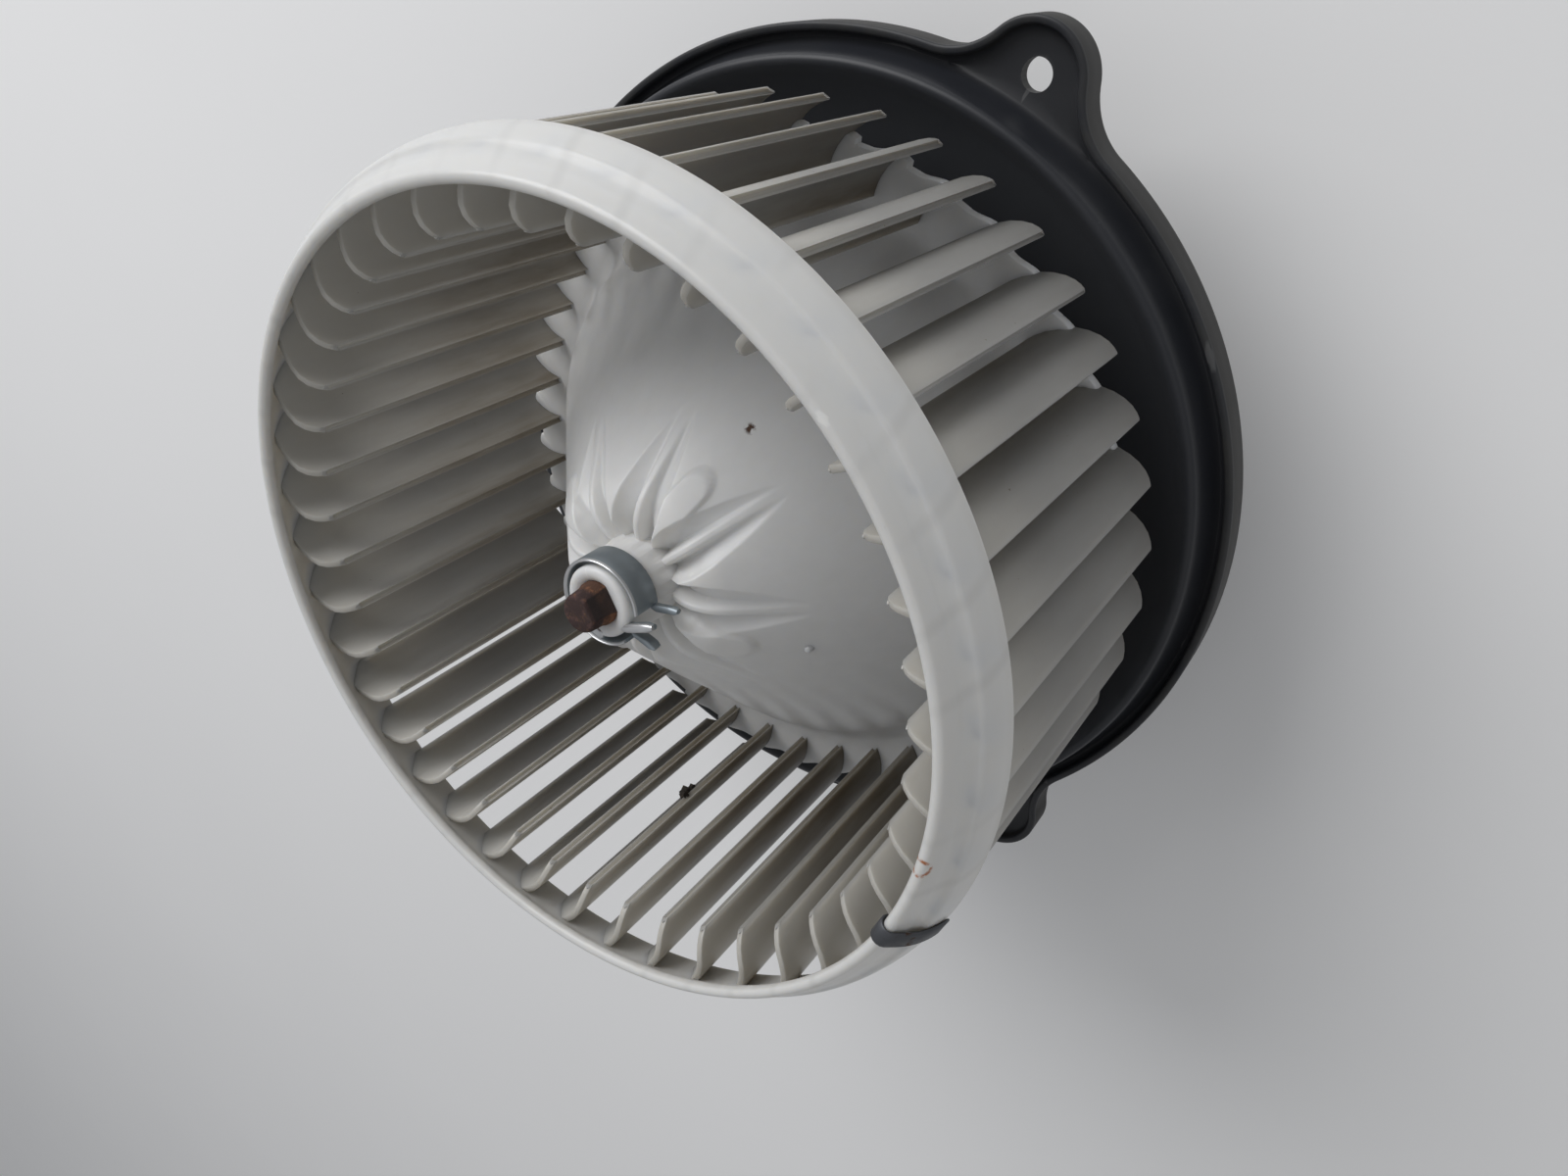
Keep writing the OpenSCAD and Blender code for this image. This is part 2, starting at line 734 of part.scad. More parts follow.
// Coil spring behind a brush
module brush_spring(a) {
    coil_r = 2;
    spring_wire_r = 0.3;
    turns = 4;
    steps = 14;
    sides = 6;
    front = brush_face_r + brush_size[0] + spring_wire_r;
    length = holder_x[1] - holder_t - spring_wire_r - front;
    color("silver") rotate(a) translate([front, 0, brush_z]) polyhedron(
        points = coil_points(length, coil_r, spring_wire_r, turns, steps, sides),
        faces = tube_faces(turns * steps + 1, sides)
    );
}

module brush_a() {
    brush(0);
}

module brush_b() {
    brush(180);
}

module brush_spring_a() {
    brush_spring(0);
}

module brush_spring_b() {
    brush_spring(180);
}

fan_wheel();
hub_clip();
balance_clip();
motor_shaft();
armature_core();
core_insulators();
armature_windings();
commutator_hub();
commutator_bars();
thrust_washers();
mounting_flange();
motor_cover();
cover_screws();
front_rubber_mount();
rear_rubber_mount();
motor_can();
can_end_plate();
field_magnets();
magnet_clips();
front_bearing();
rear_bearing();
bearing_retainers();
oil_felts();
brush_card();
brush_holders();
choke_coils();
lead_wires();
terminal_pins();
brush_a();
brush_b();
brush_spring_a();
brush_spring_b();
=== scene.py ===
"""Looks for the blower: wheel, clips, shaft, flange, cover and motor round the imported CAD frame.

Lengths inside the shape helpers are in millimetres; Shape.make turns them into metres.
"""
import math

import bmesh
import bpy
import numpy as np
from mathutils import Matrix, Vector


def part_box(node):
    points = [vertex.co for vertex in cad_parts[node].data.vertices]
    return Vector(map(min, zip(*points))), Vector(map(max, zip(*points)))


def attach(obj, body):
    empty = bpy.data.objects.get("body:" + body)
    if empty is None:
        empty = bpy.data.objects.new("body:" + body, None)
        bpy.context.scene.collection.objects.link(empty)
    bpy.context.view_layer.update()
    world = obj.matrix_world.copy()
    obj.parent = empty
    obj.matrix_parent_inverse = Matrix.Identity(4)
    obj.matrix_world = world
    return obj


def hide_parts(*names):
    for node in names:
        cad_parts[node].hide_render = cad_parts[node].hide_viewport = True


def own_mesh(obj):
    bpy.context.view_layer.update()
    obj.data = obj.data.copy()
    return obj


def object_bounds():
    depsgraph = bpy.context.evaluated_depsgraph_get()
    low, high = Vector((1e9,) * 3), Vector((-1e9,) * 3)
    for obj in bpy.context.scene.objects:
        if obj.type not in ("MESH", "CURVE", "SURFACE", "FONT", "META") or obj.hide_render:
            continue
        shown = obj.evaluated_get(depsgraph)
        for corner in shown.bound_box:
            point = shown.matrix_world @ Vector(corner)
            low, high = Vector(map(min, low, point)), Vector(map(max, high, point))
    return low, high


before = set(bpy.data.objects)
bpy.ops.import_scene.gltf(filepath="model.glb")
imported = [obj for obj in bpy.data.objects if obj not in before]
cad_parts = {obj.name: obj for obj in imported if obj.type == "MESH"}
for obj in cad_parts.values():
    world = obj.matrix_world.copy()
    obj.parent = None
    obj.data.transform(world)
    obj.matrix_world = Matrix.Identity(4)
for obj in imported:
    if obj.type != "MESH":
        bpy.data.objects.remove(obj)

CAD_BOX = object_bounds()
MM = 0.001
END_WIDTH = 0.8  # width of a bar's tapered end, as a share of the bar's
MOST_ROUND = 0.9  # most that a corner's rounding may take of a half side


def box_mm(node):
    """A CAD node's lowest and highest corners, in mm."""
    low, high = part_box(node)
    return np.array(low) / MM, np.array(high) / MM


def polar(r, degrees):
    """Points in the XY plane, from radii and angles that may be arrays."""
    a = np.radians(degrees)
    return np.stack(np.broadcast_arrays(r * np.cos(a), r * np.sin(a)), axis=-1)


def ring(r, degrees, z):
    """Points round Z, from radii and heights that may be arrays."""
    return np.column_stack([polar(r, degrees), np.broadcast_to(z, len(degrees))])


def smooth(x, low, high):
    """0 below low, 1 above high and a soft step between."""
    t = np.clip((x - low) / (high - low), 0, 1)
    return t * t * (3 - 2 * t)


def arc_points(centre, radius, start, end, count):
    """Points on an arc in the (r, z) plane, from angle start to angle end in degrees."""
    return [(centre[0] + radius * math.cos(a), centre[1] + radius * math.sin(a))
            for a in np.radians(np.linspace(start, end, count))]


def curve_points(a, b, c, count):
    """Points on a quadratic curve from a to c, pulled towards b, without a itself."""
    return [tuple((1 - t) ** 2 * np.array(a) + 2 * t * (1 - t) * np.array(b) + t * t * np.array(c))
            for t in np.linspace(0, 1, count + 1)[1:]]


def add_object(name, data):
    """A new object in the scene."""
    obj = bpy.data.objects.new(name, data)
    bpy.context.scene.collection.objects.link(obj)
    return obj


def edit(mesh, change, source=None):
    """Runs change on a bmesh of source, or else of mesh, and writes the result to mesh."""
    b = bmesh.new()
    b.from_mesh(source or mesh)
    change(b)
    b.to_mesh(mesh)
    b.free()


def apply_modifiers(obj):
    """Gives obj the mesh that its modifiers make, and removes them."""
    graph = bpy.context.evaluated_depsgraph_get()
    mesh = bpy.data.meshes.new_from_object(obj.evaluated_get(graph))
    obj.modifiers.clear()
    obj.data = mesh
    return mesh


# ---- shapes ----

class Shape:
    """Collects vertices in mm and faces, each with the number of its material."""

    def __init__(self):
        self.vertices, self.faces, self.numbers, self.count = [], [], [], 0

    def add(self, vertices, faces, number=0):
        vertices = np.asarray(vertices, float).reshape(-1, 3)
        self.vertices.append(vertices)
        self.faces += [tuple(int(i) + self.count for i in f) for f in faces]
        self.numbers += [number] * len(faces)
        self.count += len(vertices)

    def rings(self, rings, number=0, round_rings=False, caps=False):
        """Joins closed rings of equal length into a tube, closed on itself or capped."""
        grid = np.asarray(rings, float)
        rows, columns = grid.shape[:2]
        faces = []
        for i in range(rows if round_rings else rows - 1):
            k = (i + 1) % rows
            for j in range(columns):
                n = (j + 1) % columns
                faces.append((i * columns + j, i * columns + n, k * columns + n, k * columns + j))
        if caps:
            faces.append(tuple(range(columns))[::-1])
            faces.append(tuple((rows - 1) * columns + j for j in range(columns)))
        self.add(grid, faces, number)

    def make(self, name, materials, sharp=50, body=None):
        """A Blender object of what was collected, smooth where it bends less than sharp degrees."""
        mesh = bpy.data.meshes.new(name)
        mesh.from_pydata((np.concatenate(self.vertices) * MM).tolist(), [], self.faces)
        for m in materials:
            mesh.materials.append(m)
        mesh.polygons.foreach_set("material_index", self.numbers)
        edit(mesh, lambda b: bmesh.ops.recalc_face_normals(b, faces=b.faces))
        mesh.shade_smooth()
        mesh.set_sharp_from_angle(angle=math.radians(sharp))
        obj = add_object(name, mesh)
        if body:
            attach(obj, body)
        return obj


def lathe(profile, degrees, bend=None):
    """Rings of (r, z) profile points round Z. bend may turn a point into arrays round the ring."""
    return [ring(r, degrees, z) for r, z in (bend(*point) if bend else point for point in profile)]


def post(shape, profile, place, steps=48, number=0):
    """Adds a round solid from an (r, z) profile, its axis upright through place."""
    rings = lathe(profile, np.arange(steps) * 360 / steps)
    shape.rings([points + place for points in rings], number, caps=True)


def bar(path, width, thick, up, rounding, end_taper):
    """Rings of a rounded rectangular bar along a path, slimmer at its ends; width lies along up."""
    path, up = np.asarray(path, float), np.asarray(up, float)
    rings = []
    last = len(path) - 1
    for i, p in enumerate(path):
        along = path[min(i + 1, last)] - path[max(i - 1, 0)]
        along = along / np.linalg.norm(along)
        side = np.cross(along, up)
        side = side / np.linalg.norm(side)
        top = np.cross(side, along)
        size = end_taper if i in (0, last) else 1.0
        w, t = width / 2 * (1 if size == 1 else END_WIDTH), thick / 2 * size
        k = min(rounding, t * MOST_ROUND, w * MOST_ROUND)
        section = []
        for sx, sy in ((1, 1), (-1, 1), (-1, -1), (1, -1)):
            corner = [(sx * (t - k), sy * w), (sx * t, sy * (w - k))]
            section += corner[::-1] if sx * sy > 0 else corner
        rings.append([p + side * x + top * y for x, y in section])
    return rings


# ---- materials ----

class Paint:
    """A node material whose patterns use object coordinates in mm."""

    def __init__(self, name, colour, roughness, metallic=0.0, ior=1.45):
        self.material = bpy.data.materials.new(name)
        self.material.use_nodes = True
        self.tree = self.material.node_tree
        self.tree.nodes.clear()
        output = self.new("ShaderNodeOutputMaterial")
        self.shader = self.new("ShaderNodeBsdfPrincipled")
        self.link(self.shader.outputs[0], output.inputs[0])
        self.set("Base Color", (*colour, 1))
        self.set("Roughness", roughness)
        self.set("Metallic", metallic)
        self.set("IOR", ior)
        scale = self.new("ShaderNodeVectorMath", {"Scale": 1 / MM}, operation="SCALE")
        self.link(self.new("ShaderNodeTexCoord").outputs["Object"], scale.inputs[0])
        self.place = scale.outputs[0]
        self.colour = self.constant("ShaderNodeRGB", (*colour, 1))
        self.rough = self.constant("ShaderNodeValue", roughness)
        self.split = self.new("ShaderNodeSeparateXYZ")
        self.link(self.place, self.split.inputs[0])
        self.bump_height = None

    def new(self, kind, sockets=None, **settings):
        """A node with its settings and the values of its sockets."""
        node = self.tree.nodes.new(kind)
        for key, value in settings.items():
            setattr(node, key, value)
        for key, value in (sockets or {}).items():
            node.inputs[key].default_value = value
        return node

    def link(self, a, b):
        self.tree.links.new(a, b)

    def set(self, socket, value):
        self.shader.inputs[socket].default_value = value

    def constant(self, kind, value):
        output = self.new(kind).outputs[0]
        output.default_value = value
        return output

    def math(self, operation, a, b=0.0, c=0.0, clamp=False):
        node = self.new("ShaderNodeMath", operation=operation, use_clamp=clamp)
        for socket, item in zip(node.inputs, (a, b, c)):
            if isinstance(item, (int, float)):
                socket.default_value = item
            else:
                self.link(item, socket)
        return node.outputs[0]

    def noise(self, size, detail=4.0, rough=0.55, stretch=(1, 1, 1)):
        """Noise from 0 to 1 whose blobs are about size mm across."""
        mapping = self.new("ShaderNodeMapping", {"Scale": [1 / size / s for s in stretch]})
        self.link(self.place, mapping.inputs["Vector"])
        node = self.new("ShaderNodeTexNoise", {"Scale": 1, "Detail": detail, "Roughness": rough})
        self.link(mapping.outputs[0], node.inputs["Vector"])
        return node.outputs["Fac"]

    def step(self, value, low, high):
        """0 where value is at low, 1 at high and a soft step between; high may be the lower."""
        flip = high < low
        ends = {"From Min": min(low, high), "From Max": max(low, high),
                "To Min": float(flip), "To Max": float(not flip)}
        node = self.new("ShaderNodeMapRange", ends, interpolation_type="SMOOTHSTEP")
        self.link(value, node.inputs["Value"])
        return node.outputs["Result"]

    def times(self, *items):
        """The product of sockets and numbers."""
        items = [self.constant("ShaderNodeValue", i) if isinstance(i, (int, float)) else i
                 for i in items]
        result = items[0]
        for item in items[1:]:
            result = self.math("MULTIPLY", result, item)
        return result

    def length(self, x, y):
        """How long the vector (x, y) is."""
        x, y = self.math("POWER", x, 2.0), self.math("POWER", y, 2.0)
        return self.math("SQRT", self.math("ADD", x, y))

    def radius(self):
        """Distance from the motor's axis, in mm."""
        return self.length(self.split.outputs["X"], self.split.outputs["Y"])

    def angle(self):
        """Angle round the motor's axis, in radians."""
        return self.math("ARCTAN2", self.split.outputs["Y"], self.split.outputs["X"])

    def height(self):
        return self.split.outputs["Z"]

    def near(self, point, low, high):
        """1 within low mm of a point and 0 beyond high mm."""
        node = self.new("ShaderNodeVectorMath", {1: point}, operation="DISTANCE")
        self.link(self.place, node.inputs[0])
        return self.step(node.outputs["Value"], high, low)

    def facing(self, axis):
        """How far the surface faces along an axis, -1 to 1."""
        node = self.new("ShaderNodeVectorMath", {1: axis}, operation="DOT_PRODUCT")
        self.link(self.new("ShaderNodeTexCoord").outputs["Normal"], node.inputs[0])
        return node.outputs["Value"]

    def edges(self, low=0.52, high=0.6):
        """1 on convex edges, from the surface's pointiness."""
        return self.step(self.new("ShaderNodeNewGeometry").outputs["Pointiness"], low, high)

    def coat(self, colour, factor, roughness=None):
        """Mixes another colour, and maybe another roughness, over the surface."""
        self.colour = self.mix("RGBA", factor, self.colour, (*colour, 1))
        if roughness is not None:
            self.rough = self.mix("FLOAT", factor, self.rough, roughness)

    def mix(self, kind, factor, under, over):
        node = self.new("ShaderNodeMix", {"B": over}, data_type=kind)
        self.link(factor, node.inputs["Factor"])
        self.link(under, node.inputs["A"])
        return node.outputs["Result"]

    def relief(self, height, depth):
        """Adds a height pattern, depth in mm."""
        scaled = self.math("MULTIPLY", height, depth)
        self.bump_height = scaled if self.bump_height is None else self.math(
            "ADD", self.bump_height, scaled)

    def done(self):
        self.link(self.colour, self.shader.inputs["Base Color"])
        self.link(self.rough, self.shader.inputs["Roughness"])
        if self.bump_height is not None:
            bump = self.new("ShaderNodeBump", {"Distance": MM})
            self.link(self.bump_height, bump.inputs["Height"])
            self.link(bump.outputs["Normal"], self.shader.inputs["Normal"])
        return self.material


# ---- sizes, in mm ----

WHEEL_LOW, WHEEL_HIGH = box_mm("fan_wheel")
BLADE_LOW = WHEEL_LOW[2]  # free ends of the blades, and the disc's back face
LIP_HIGH = WHEEL_HIGH[2]

BLADE_COUNT = 41
BLADE_STEPS = 16  # steps round the wheel for each blade
STEPS = BLADE_COUNT * BLADE_STEPS
BLADE_PITCH = 360 / BLADE_COUNT
BLADE_PHASE = 3.2  # angle of the first blade's outer edge
BLADE_THICK = 1.3
BLADE_SWEEP = 6.8  # angle from a blade's outer edge to its inner edge
BLADE_CURVE = 11.5
BLADE_OUT, BLADE_IN = 75.0, 61.0
BLADE_HIGH = LIP_HIGH - 4
BLADE_ARC = 13  # points along each face of a blade's section
CORNER_IN, CORNER_OUT = 6.0, 2.0

RING_WALL = 1.8
RING_CENTRE = (60.25, LIP_HIGH - 12.0)
RING_OUT = 15.7  # radius of the ring's outer face round RING_CENTRE
RING_LOW = LIP_HIGH - 10.7
LIP_CENTRE = (69.9, LIP_HIGH - 1.0)
LIP_ROUND = 1.1

DISC_R = 69.8
DISC_JOIN_R = 60.0  # where the lobed disc becomes round
DISC_HIGH = BLADE_LOW + 2.5
CONE_FOOT = (54.7, DISC_HIGH + 5.5)
CONE_SLOPE = 0.93
DOME_R = 18.4
DOME_Z = CONE_FOOT[1] + (CONE_FOOT[0] - DOME_R) / CONE_SLOPE
DOME_BEND = 0.0757
RIB_COUNT, RIB_PHASE = 8, 20.0
RIB_PITCH = 360 / RIB_COUNT
RIB_HALF, RIB_SHARE = 1.1, 0.80
FLUTE_END_R = 31
FLUTE_HALF_WIDTH = ((8, 10, 14, 17, 22, 27, 29), (3.5, 4.1, 4.9, 4.8, 3.6, 2.0, 1.0))
FLUTE_DEPTH = ((8, 10, 14, 18, 22, 26, 29.5), (4.5, 4.4, 3.7, 2.7, 1.7, 0.7, 0))
PAD_R = 20.6  # where the round end of a pad between flutes has its centre
BOSS_R, BOSS_NOSE_R, BOSS_EDGE = 8.0, 6.6, 1.0
BOSS_LOW, BOSS_HIGH = 50.0, 73.0
HUB_WALL_IN = 9.5
NIB_R, NIB_ANGLE = 29.5, -88.5

SHAFT_R = 4.0
SHAFT_GAP = 0.06
FLAT_ANGLE = -36.0
FLAT_REACH = 3.3  # from the shaft's axis to its flat


def blade_angle(r):
    """Angle from a blade's outer edge to the middle of its section at radius r."""
    return BLADE_SWEEP * (BLADE_OUT - r) / (BLADE_OUT - BLADE_IN)


def shaft_radius(degrees):
    """Radius of the flatted shaft at each angle."""
    off = (degrees - FLAT_ANGLE + 180) % 360 - 180
    return np.minimum(SHAFT_R, FLAT_REACH / np.maximum(np.cos(np.radians(off)), 0.05))


def dome_height(r):
    """Height of the plain hub cone and dome at radius r."""
    inward = np.maximum(DOME_R - r, 0)
    return DOME_Z + (DOME_R - r) / CONE_SLOPE - DOME_BEND * inward ** 2


# ---- wheel ----

RING, HUB, BLADES, CRUMBS = range(4)  # the wheel's materials, in order


def hub_relief(r, degrees):
    """How far the flutes, their ribs and the pads between them move the hub's top at (r, angle)."""
    off = (degrees - RIB_PHASE + RIB_PITCH / 2) % RIB_PITCH - RIB_PITCH / 2
    across = r * np.radians(off)
    hollow = np.clip(1 - (across / np.interp(r, *FLUTE_HALF_WIDTH)) ** 2, 0, 1) ** 0.85
    rib = np.exp(-(across / RIB_HALF) ** 4) * RIB_SHARE
    move = -np.interp(r, *FLUTE_DEPTH) * (hollow - rib * hollow)
    petal = np.round((degrees - (RIB_PHASE - RIB_PITCH / 2)) / RIB_PITCH)
    middle = RIB_PHASE - RIB_PITCH / 2 + petal * RIB_PITCH
    x = r * np.cos(np.radians(degrees - middle))
    y = r * np.sin(np.radians(degrees - middle))
    away = np.hypot(np.maximum(x - PAD_R, 0), y)
    pad = smooth(away, 3.0, 2.3) * smooth(x, 10, 20)
    return move + np.where(petal % 2 == 0, pad, 0)


def wheel_hub(shape):
    """Disc, cone, fluted dome and boss as one closed skin."""
    grid = BLADE_PHASE + np.arange(STEPS) * 360 / STEPS
    share = (np.arange(STEPS) % BLADE_STEPS) / BLADE_STEPS
    lobe = DISC_R - 1.3 * smooth(share, 0.30, 0.72) - 0.4 * smooth(share, 0.12, 0.0)
    turned = grid + blade_angle(DISC_JOIN_R)
    rings = []

    def disc(t, z, shrink=0.0):
        r = DISC_JOIN_R + (lobe - shrink - DISC_JOIN_R) * t
        rings.append(ring(r, grid + blade_angle(r), z))

    def flutes(r, z):
        return r, np.where(r < FLUTE_END_R, z + hub_relief(r, turned), z)

    def boss_foot(r, z):
        low = dome_height(BOSS_R) + hub_relief(BOSS_R, turned)
        return r, np.where(z < boss[0][1] + 0.5, low + 0.05, z)

    def bore(r, z):
        return shaft_radius(turned) + SHAFT_GAP, z

    for t, z, shrink in ((1, BLADE_LOW + 0.4, 0), (1, DISC_HIGH - 0.8, 0),
                         (1, DISC_HIGH - 0.25, 0.25), (1, DISC_HIGH, 0.9),
                         (0.6, DISC_HIGH, 0.5), (0.25, DISC_HIGH, 0.2)):
        disc(t, z, shrink)
    foot_start, foot_end = (DISC_JOIN_R - 0.6, DISC_HIGH), (CONE_FOOT[0] - 1.1, CONE_FOOT[1] + 1.2)
    top = [(DISC_JOIN_R - 0.2 * i, DISC_HIGH) for i in (1, 2)]
    top += curve_points(foot_start, (CONE_FOOT[0] + 1.9, DISC_HIGH + 0.3), foot_end, 8)
    plain_cone, fluted_cone = (50, 46, 42, 38, 35, 33), np.arange(31.8, 8.4, -0.42)
    top += [(r, dome_height(r)) for r in (*plain_cone, *fluted_cone, BOSS_R + 0.02)]
    rings += lathe(top, turned, flutes)
    boss = [(BOSS_R, 62.5), (BOSS_R - 0.4, 65.5)]
    boss += [(BOSS_NOSE_R, 67.5), (BOSS_NOSE_R, BOSS_HIGH - 1.1)]
    boss += arc_points((BOSS_NOSE_R - BOSS_EDGE, BOSS_HIGH - BOSS_EDGE), BOSS_EDGE, 15, 90, 5)
    boss += [(5.4, BOSS_HIGH), (4.7, BOSS_HIGH - 0.1)]
    rings += lathe(boss, turned, boss_foot)
    rings += lathe([(SHAFT_R, BOSS_HIGH - 0.6), (SHAFT_R, BOSS_LOW)], turned, bore)
    under = [(HUB_WALL_IN, BOSS_LOW), (HUB_WALL_IN, DOME_Z - 2), (HUB_WALL_IN + 6, DOME_Z - 1.5),
             (CONE_FOOT[0] - 2.9, CONE_FOOT[1] - 1), (CONE_FOOT[0] + 1.5, BLADE_LOW + 0.3),
             (CONE_FOOT[0] + 1.9, BLADE_LOW)]
    rings += lathe(under, turned)
    disc(0.2, BLADE_LOW)
    disc(1, BLADE_LOW, 0.4)
    shape.rings(rings, HUB, round_rings=True)


def hub_nib(shape):
    """The small gate mark on the hub's cone."""
    place = (*polar(NIB_R, NIB_ANGLE), dome_height(NIB_R))
    post(shape, ((0.9, -1.0), (0.75, 0.1), (0.5, 0.5), (0.2, 0.62)), place, 20, HUB)


def wheel_ring(shape):
    """The inlet ring: a curved wall with a shallow groove and a rolled lip."""
    inner, outer = RING_OUT - RING_WALL, RING_OUT
    low = math.degrees(math.asin((RING_LOW - RING_CENTRE[1]) / RING_OUT))
    high = math.degrees(math.atan2(LIP_CENTRE[1] - RING_CENTRE[1], LIP_CENTRE[0] - RING_CENTRE[0]))
    profile = arc_points(RING_CENTRE, outer, low + 1.2, high - 24, 14)
    for back, dip in ((22, 0.03), (20.5, 0.22), (19, 0.42), (16, 0.52), (12.5, 0.52),
                      (10, 0.44), (8.5, 0.3)):
        profile += arc_points(RING_CENTRE, outer - dip, high - back, high - back, 1)
    profile += arc_points(LIP_CENTRE, LIP_ROUND, high - 32, high + 190, 14)
    profile += arc_points(RING_CENTRE, inner, high - 5, low + 1.5, 14)
    profile += [(RING_CENTRE[0] + inner + 0.35, RING_LOW + 0.02), (75.6, RING_LOW)]
    degrees = np.arange(STEPS) * 360 / STEPS
    shape.rings(lathe(profile, degrees), RING, round_rings=True)


def blade_section(thick):
    """One blade's outline, its outer edge at angle zero and both edges slightly hollow."""
    inner = polar(BLADE_IN + BLADE_THICK / 2, BLADE_SWEEP)
    outer = polar(BLADE_OUT - BLADE_THICK / 2, 0.0)
    chord = outer - inner
    half = np.linalg.norm(chord) / 2
    along = chord / (2 * half)
    across = np.array([along[1], -along[0]])
    centre = (inner + outer) / 2 + across * math.sqrt(BLADE_CURVE ** 2 - half ** 2)
    turns = np.cos(np.linspace(0, math.pi, BLADE_ARC)) * math.asin(half / BLADE_CURVE)

    def arc(offset):
        x, y = -across * (BLADE_CURVE + offset)
        return np.array([centre + (x * math.cos(t) - y * math.sin(t),
                                   x * math.sin(t) + y * math.cos(t)) for t in turns])

    def edge(first, last):
        middle, arm = (first + last) / 2, (first - last) / 2
        side = np.array([-arm[1], arm[0]])
        return [middle + arm * math.cos(a) + side * math.sin(a)
                for a in np.radians([45, 90, 135])]

    front, back = arc(thick / 2), arc(-thick / 2)
    return np.array([*front, *edge(front[-1], back[-1]), *back[::-1], *edge(back[0], front[0])])


def blade_top(r):
    """Height of a blade's front end at radius r: a round inner corner, then the ring's wall."""
    corner = CORNER_IN - np.clip(r - BLADE_IN, 0, CORNER_IN)
    round_z = BLADE_HIGH - CORNER_IN + np.sqrt(np.maximum(CORNER_IN ** 2 - corner ** 2, 0))
    wall = RING_OUT - RING_WALL / 2
    reach = np.clip(r - RING_CENTRE[0], 0, wall - 0.01)
    return np.minimum(round_z, RING_CENTRE[1] + np.sqrt(wall ** 2 - reach ** 2))


def blade_bottom(r):
    """Height of a blade's free end at radius r, round at its outer corner."""
    corner = np.clip(r - (BLADE_OUT - CORNER_OUT), 0, CORNER_OUT)
    return BLADE_LOW + CORNER_OUT - np.sqrt(np.maximum(CORNER_OUT ** 2 - corner ** 2, 0))


def wheel_blades(shape):
    """The curved blades, each a closed skin with softened ends."""
    full = blade_section(BLADE_THICK)
    radii = np.linalg.norm(full, axis=1)
    bottom, top = blade_bottom(radii), blade_top(radii)
    rows = []
    for end, offset, share in ((bottom, 0.02, 0.55), (bottom, 0.14, 0.86), (bottom, 0.45, 1.0),
                               (bottom, 22, 1.0), (top, -30, 1.0), (top, -0.45, 1.0),
                               (top, -0.14, 0.86), (top, -0.02, 0.55)):
        rows.append(np.column_stack([blade_section(BLADE_THICK * share), end + offset]))
    count = len(full)
    caps = []
    for row, flip in ((0, False), (len(rows) - 1, True)):
        base = row * count
        back = [base + 2 * BLADE_ARC + 2 - i for i in range(BLADE_ARC)]
        for i in range(BLADE_ARC - 1):
            face = (base + i, base + i + 1, back[i + 1], back[i])
            caps.append(face[::-1] if flip else face)
        caps.append(tuple(base + BLADE_ARC - 1 + i for i in range(5)))
        caps.append(tuple(base + (2 * BLADE_ARC + 2 + i) % count for i in range(5)))
    blade = Shape()
    blade.rings(rows)
    faces = blade.faces + caps
    points = np.concatenate(rows)
    for k in range(BLADE_COUNT):
        a = math.radians(BLADE_PHASE + k * BLADE_PITCH)
        turn = np.array([[math.cos(a), -math.sin(a), 0], [math.sin(a), math.cos(a), 0], [0, 0, 1]])
        shape.add(points @ turn.T, faces, BLADES)


def plastic_paint(name, colour, dust, mark, edge_highlight, roughness=0.36):
    """Off-white moulded plastic under warm dust, whose cover is dust's (base, spread)."""
    p = Paint(name, colour, roughness)
    p.set("Subsurface Weight", 0.4)
    p.set("Subsurface Radius", (1.0, 0.88, 0.7))
    p.set("Subsurface Scale", 0.004)
    cloud = p.noise(26, 3)
    fine = p.noise(3.0, 5, stretch=(1, 1, 5))
    cover = p.math("ADD", p.math("MULTIPLY", cloud, dust[1]), dust[0], clamp=True)
    grain = p.math("MULTIPLY", p.step(fine, 0.25, 0.75), 0.45)
    cover = p.math("MULTIPLY", cover, p.math("ADD", grain, 0.6), clamp=True)
    p.coat((0.15, 0.12, 0.078), mark(p, cover), 0.62)
    # Painted highlight: convex edges are painted lighter.
    if edge_highlight:
        p.coat((0.86, 0.86, 0.83), p.times(p.edges(), edge_highlight))
    p.relief(p.noise(0.35, 2), 0.006)
    p.relief(p.noise(9, 2), 0.05)
    return p


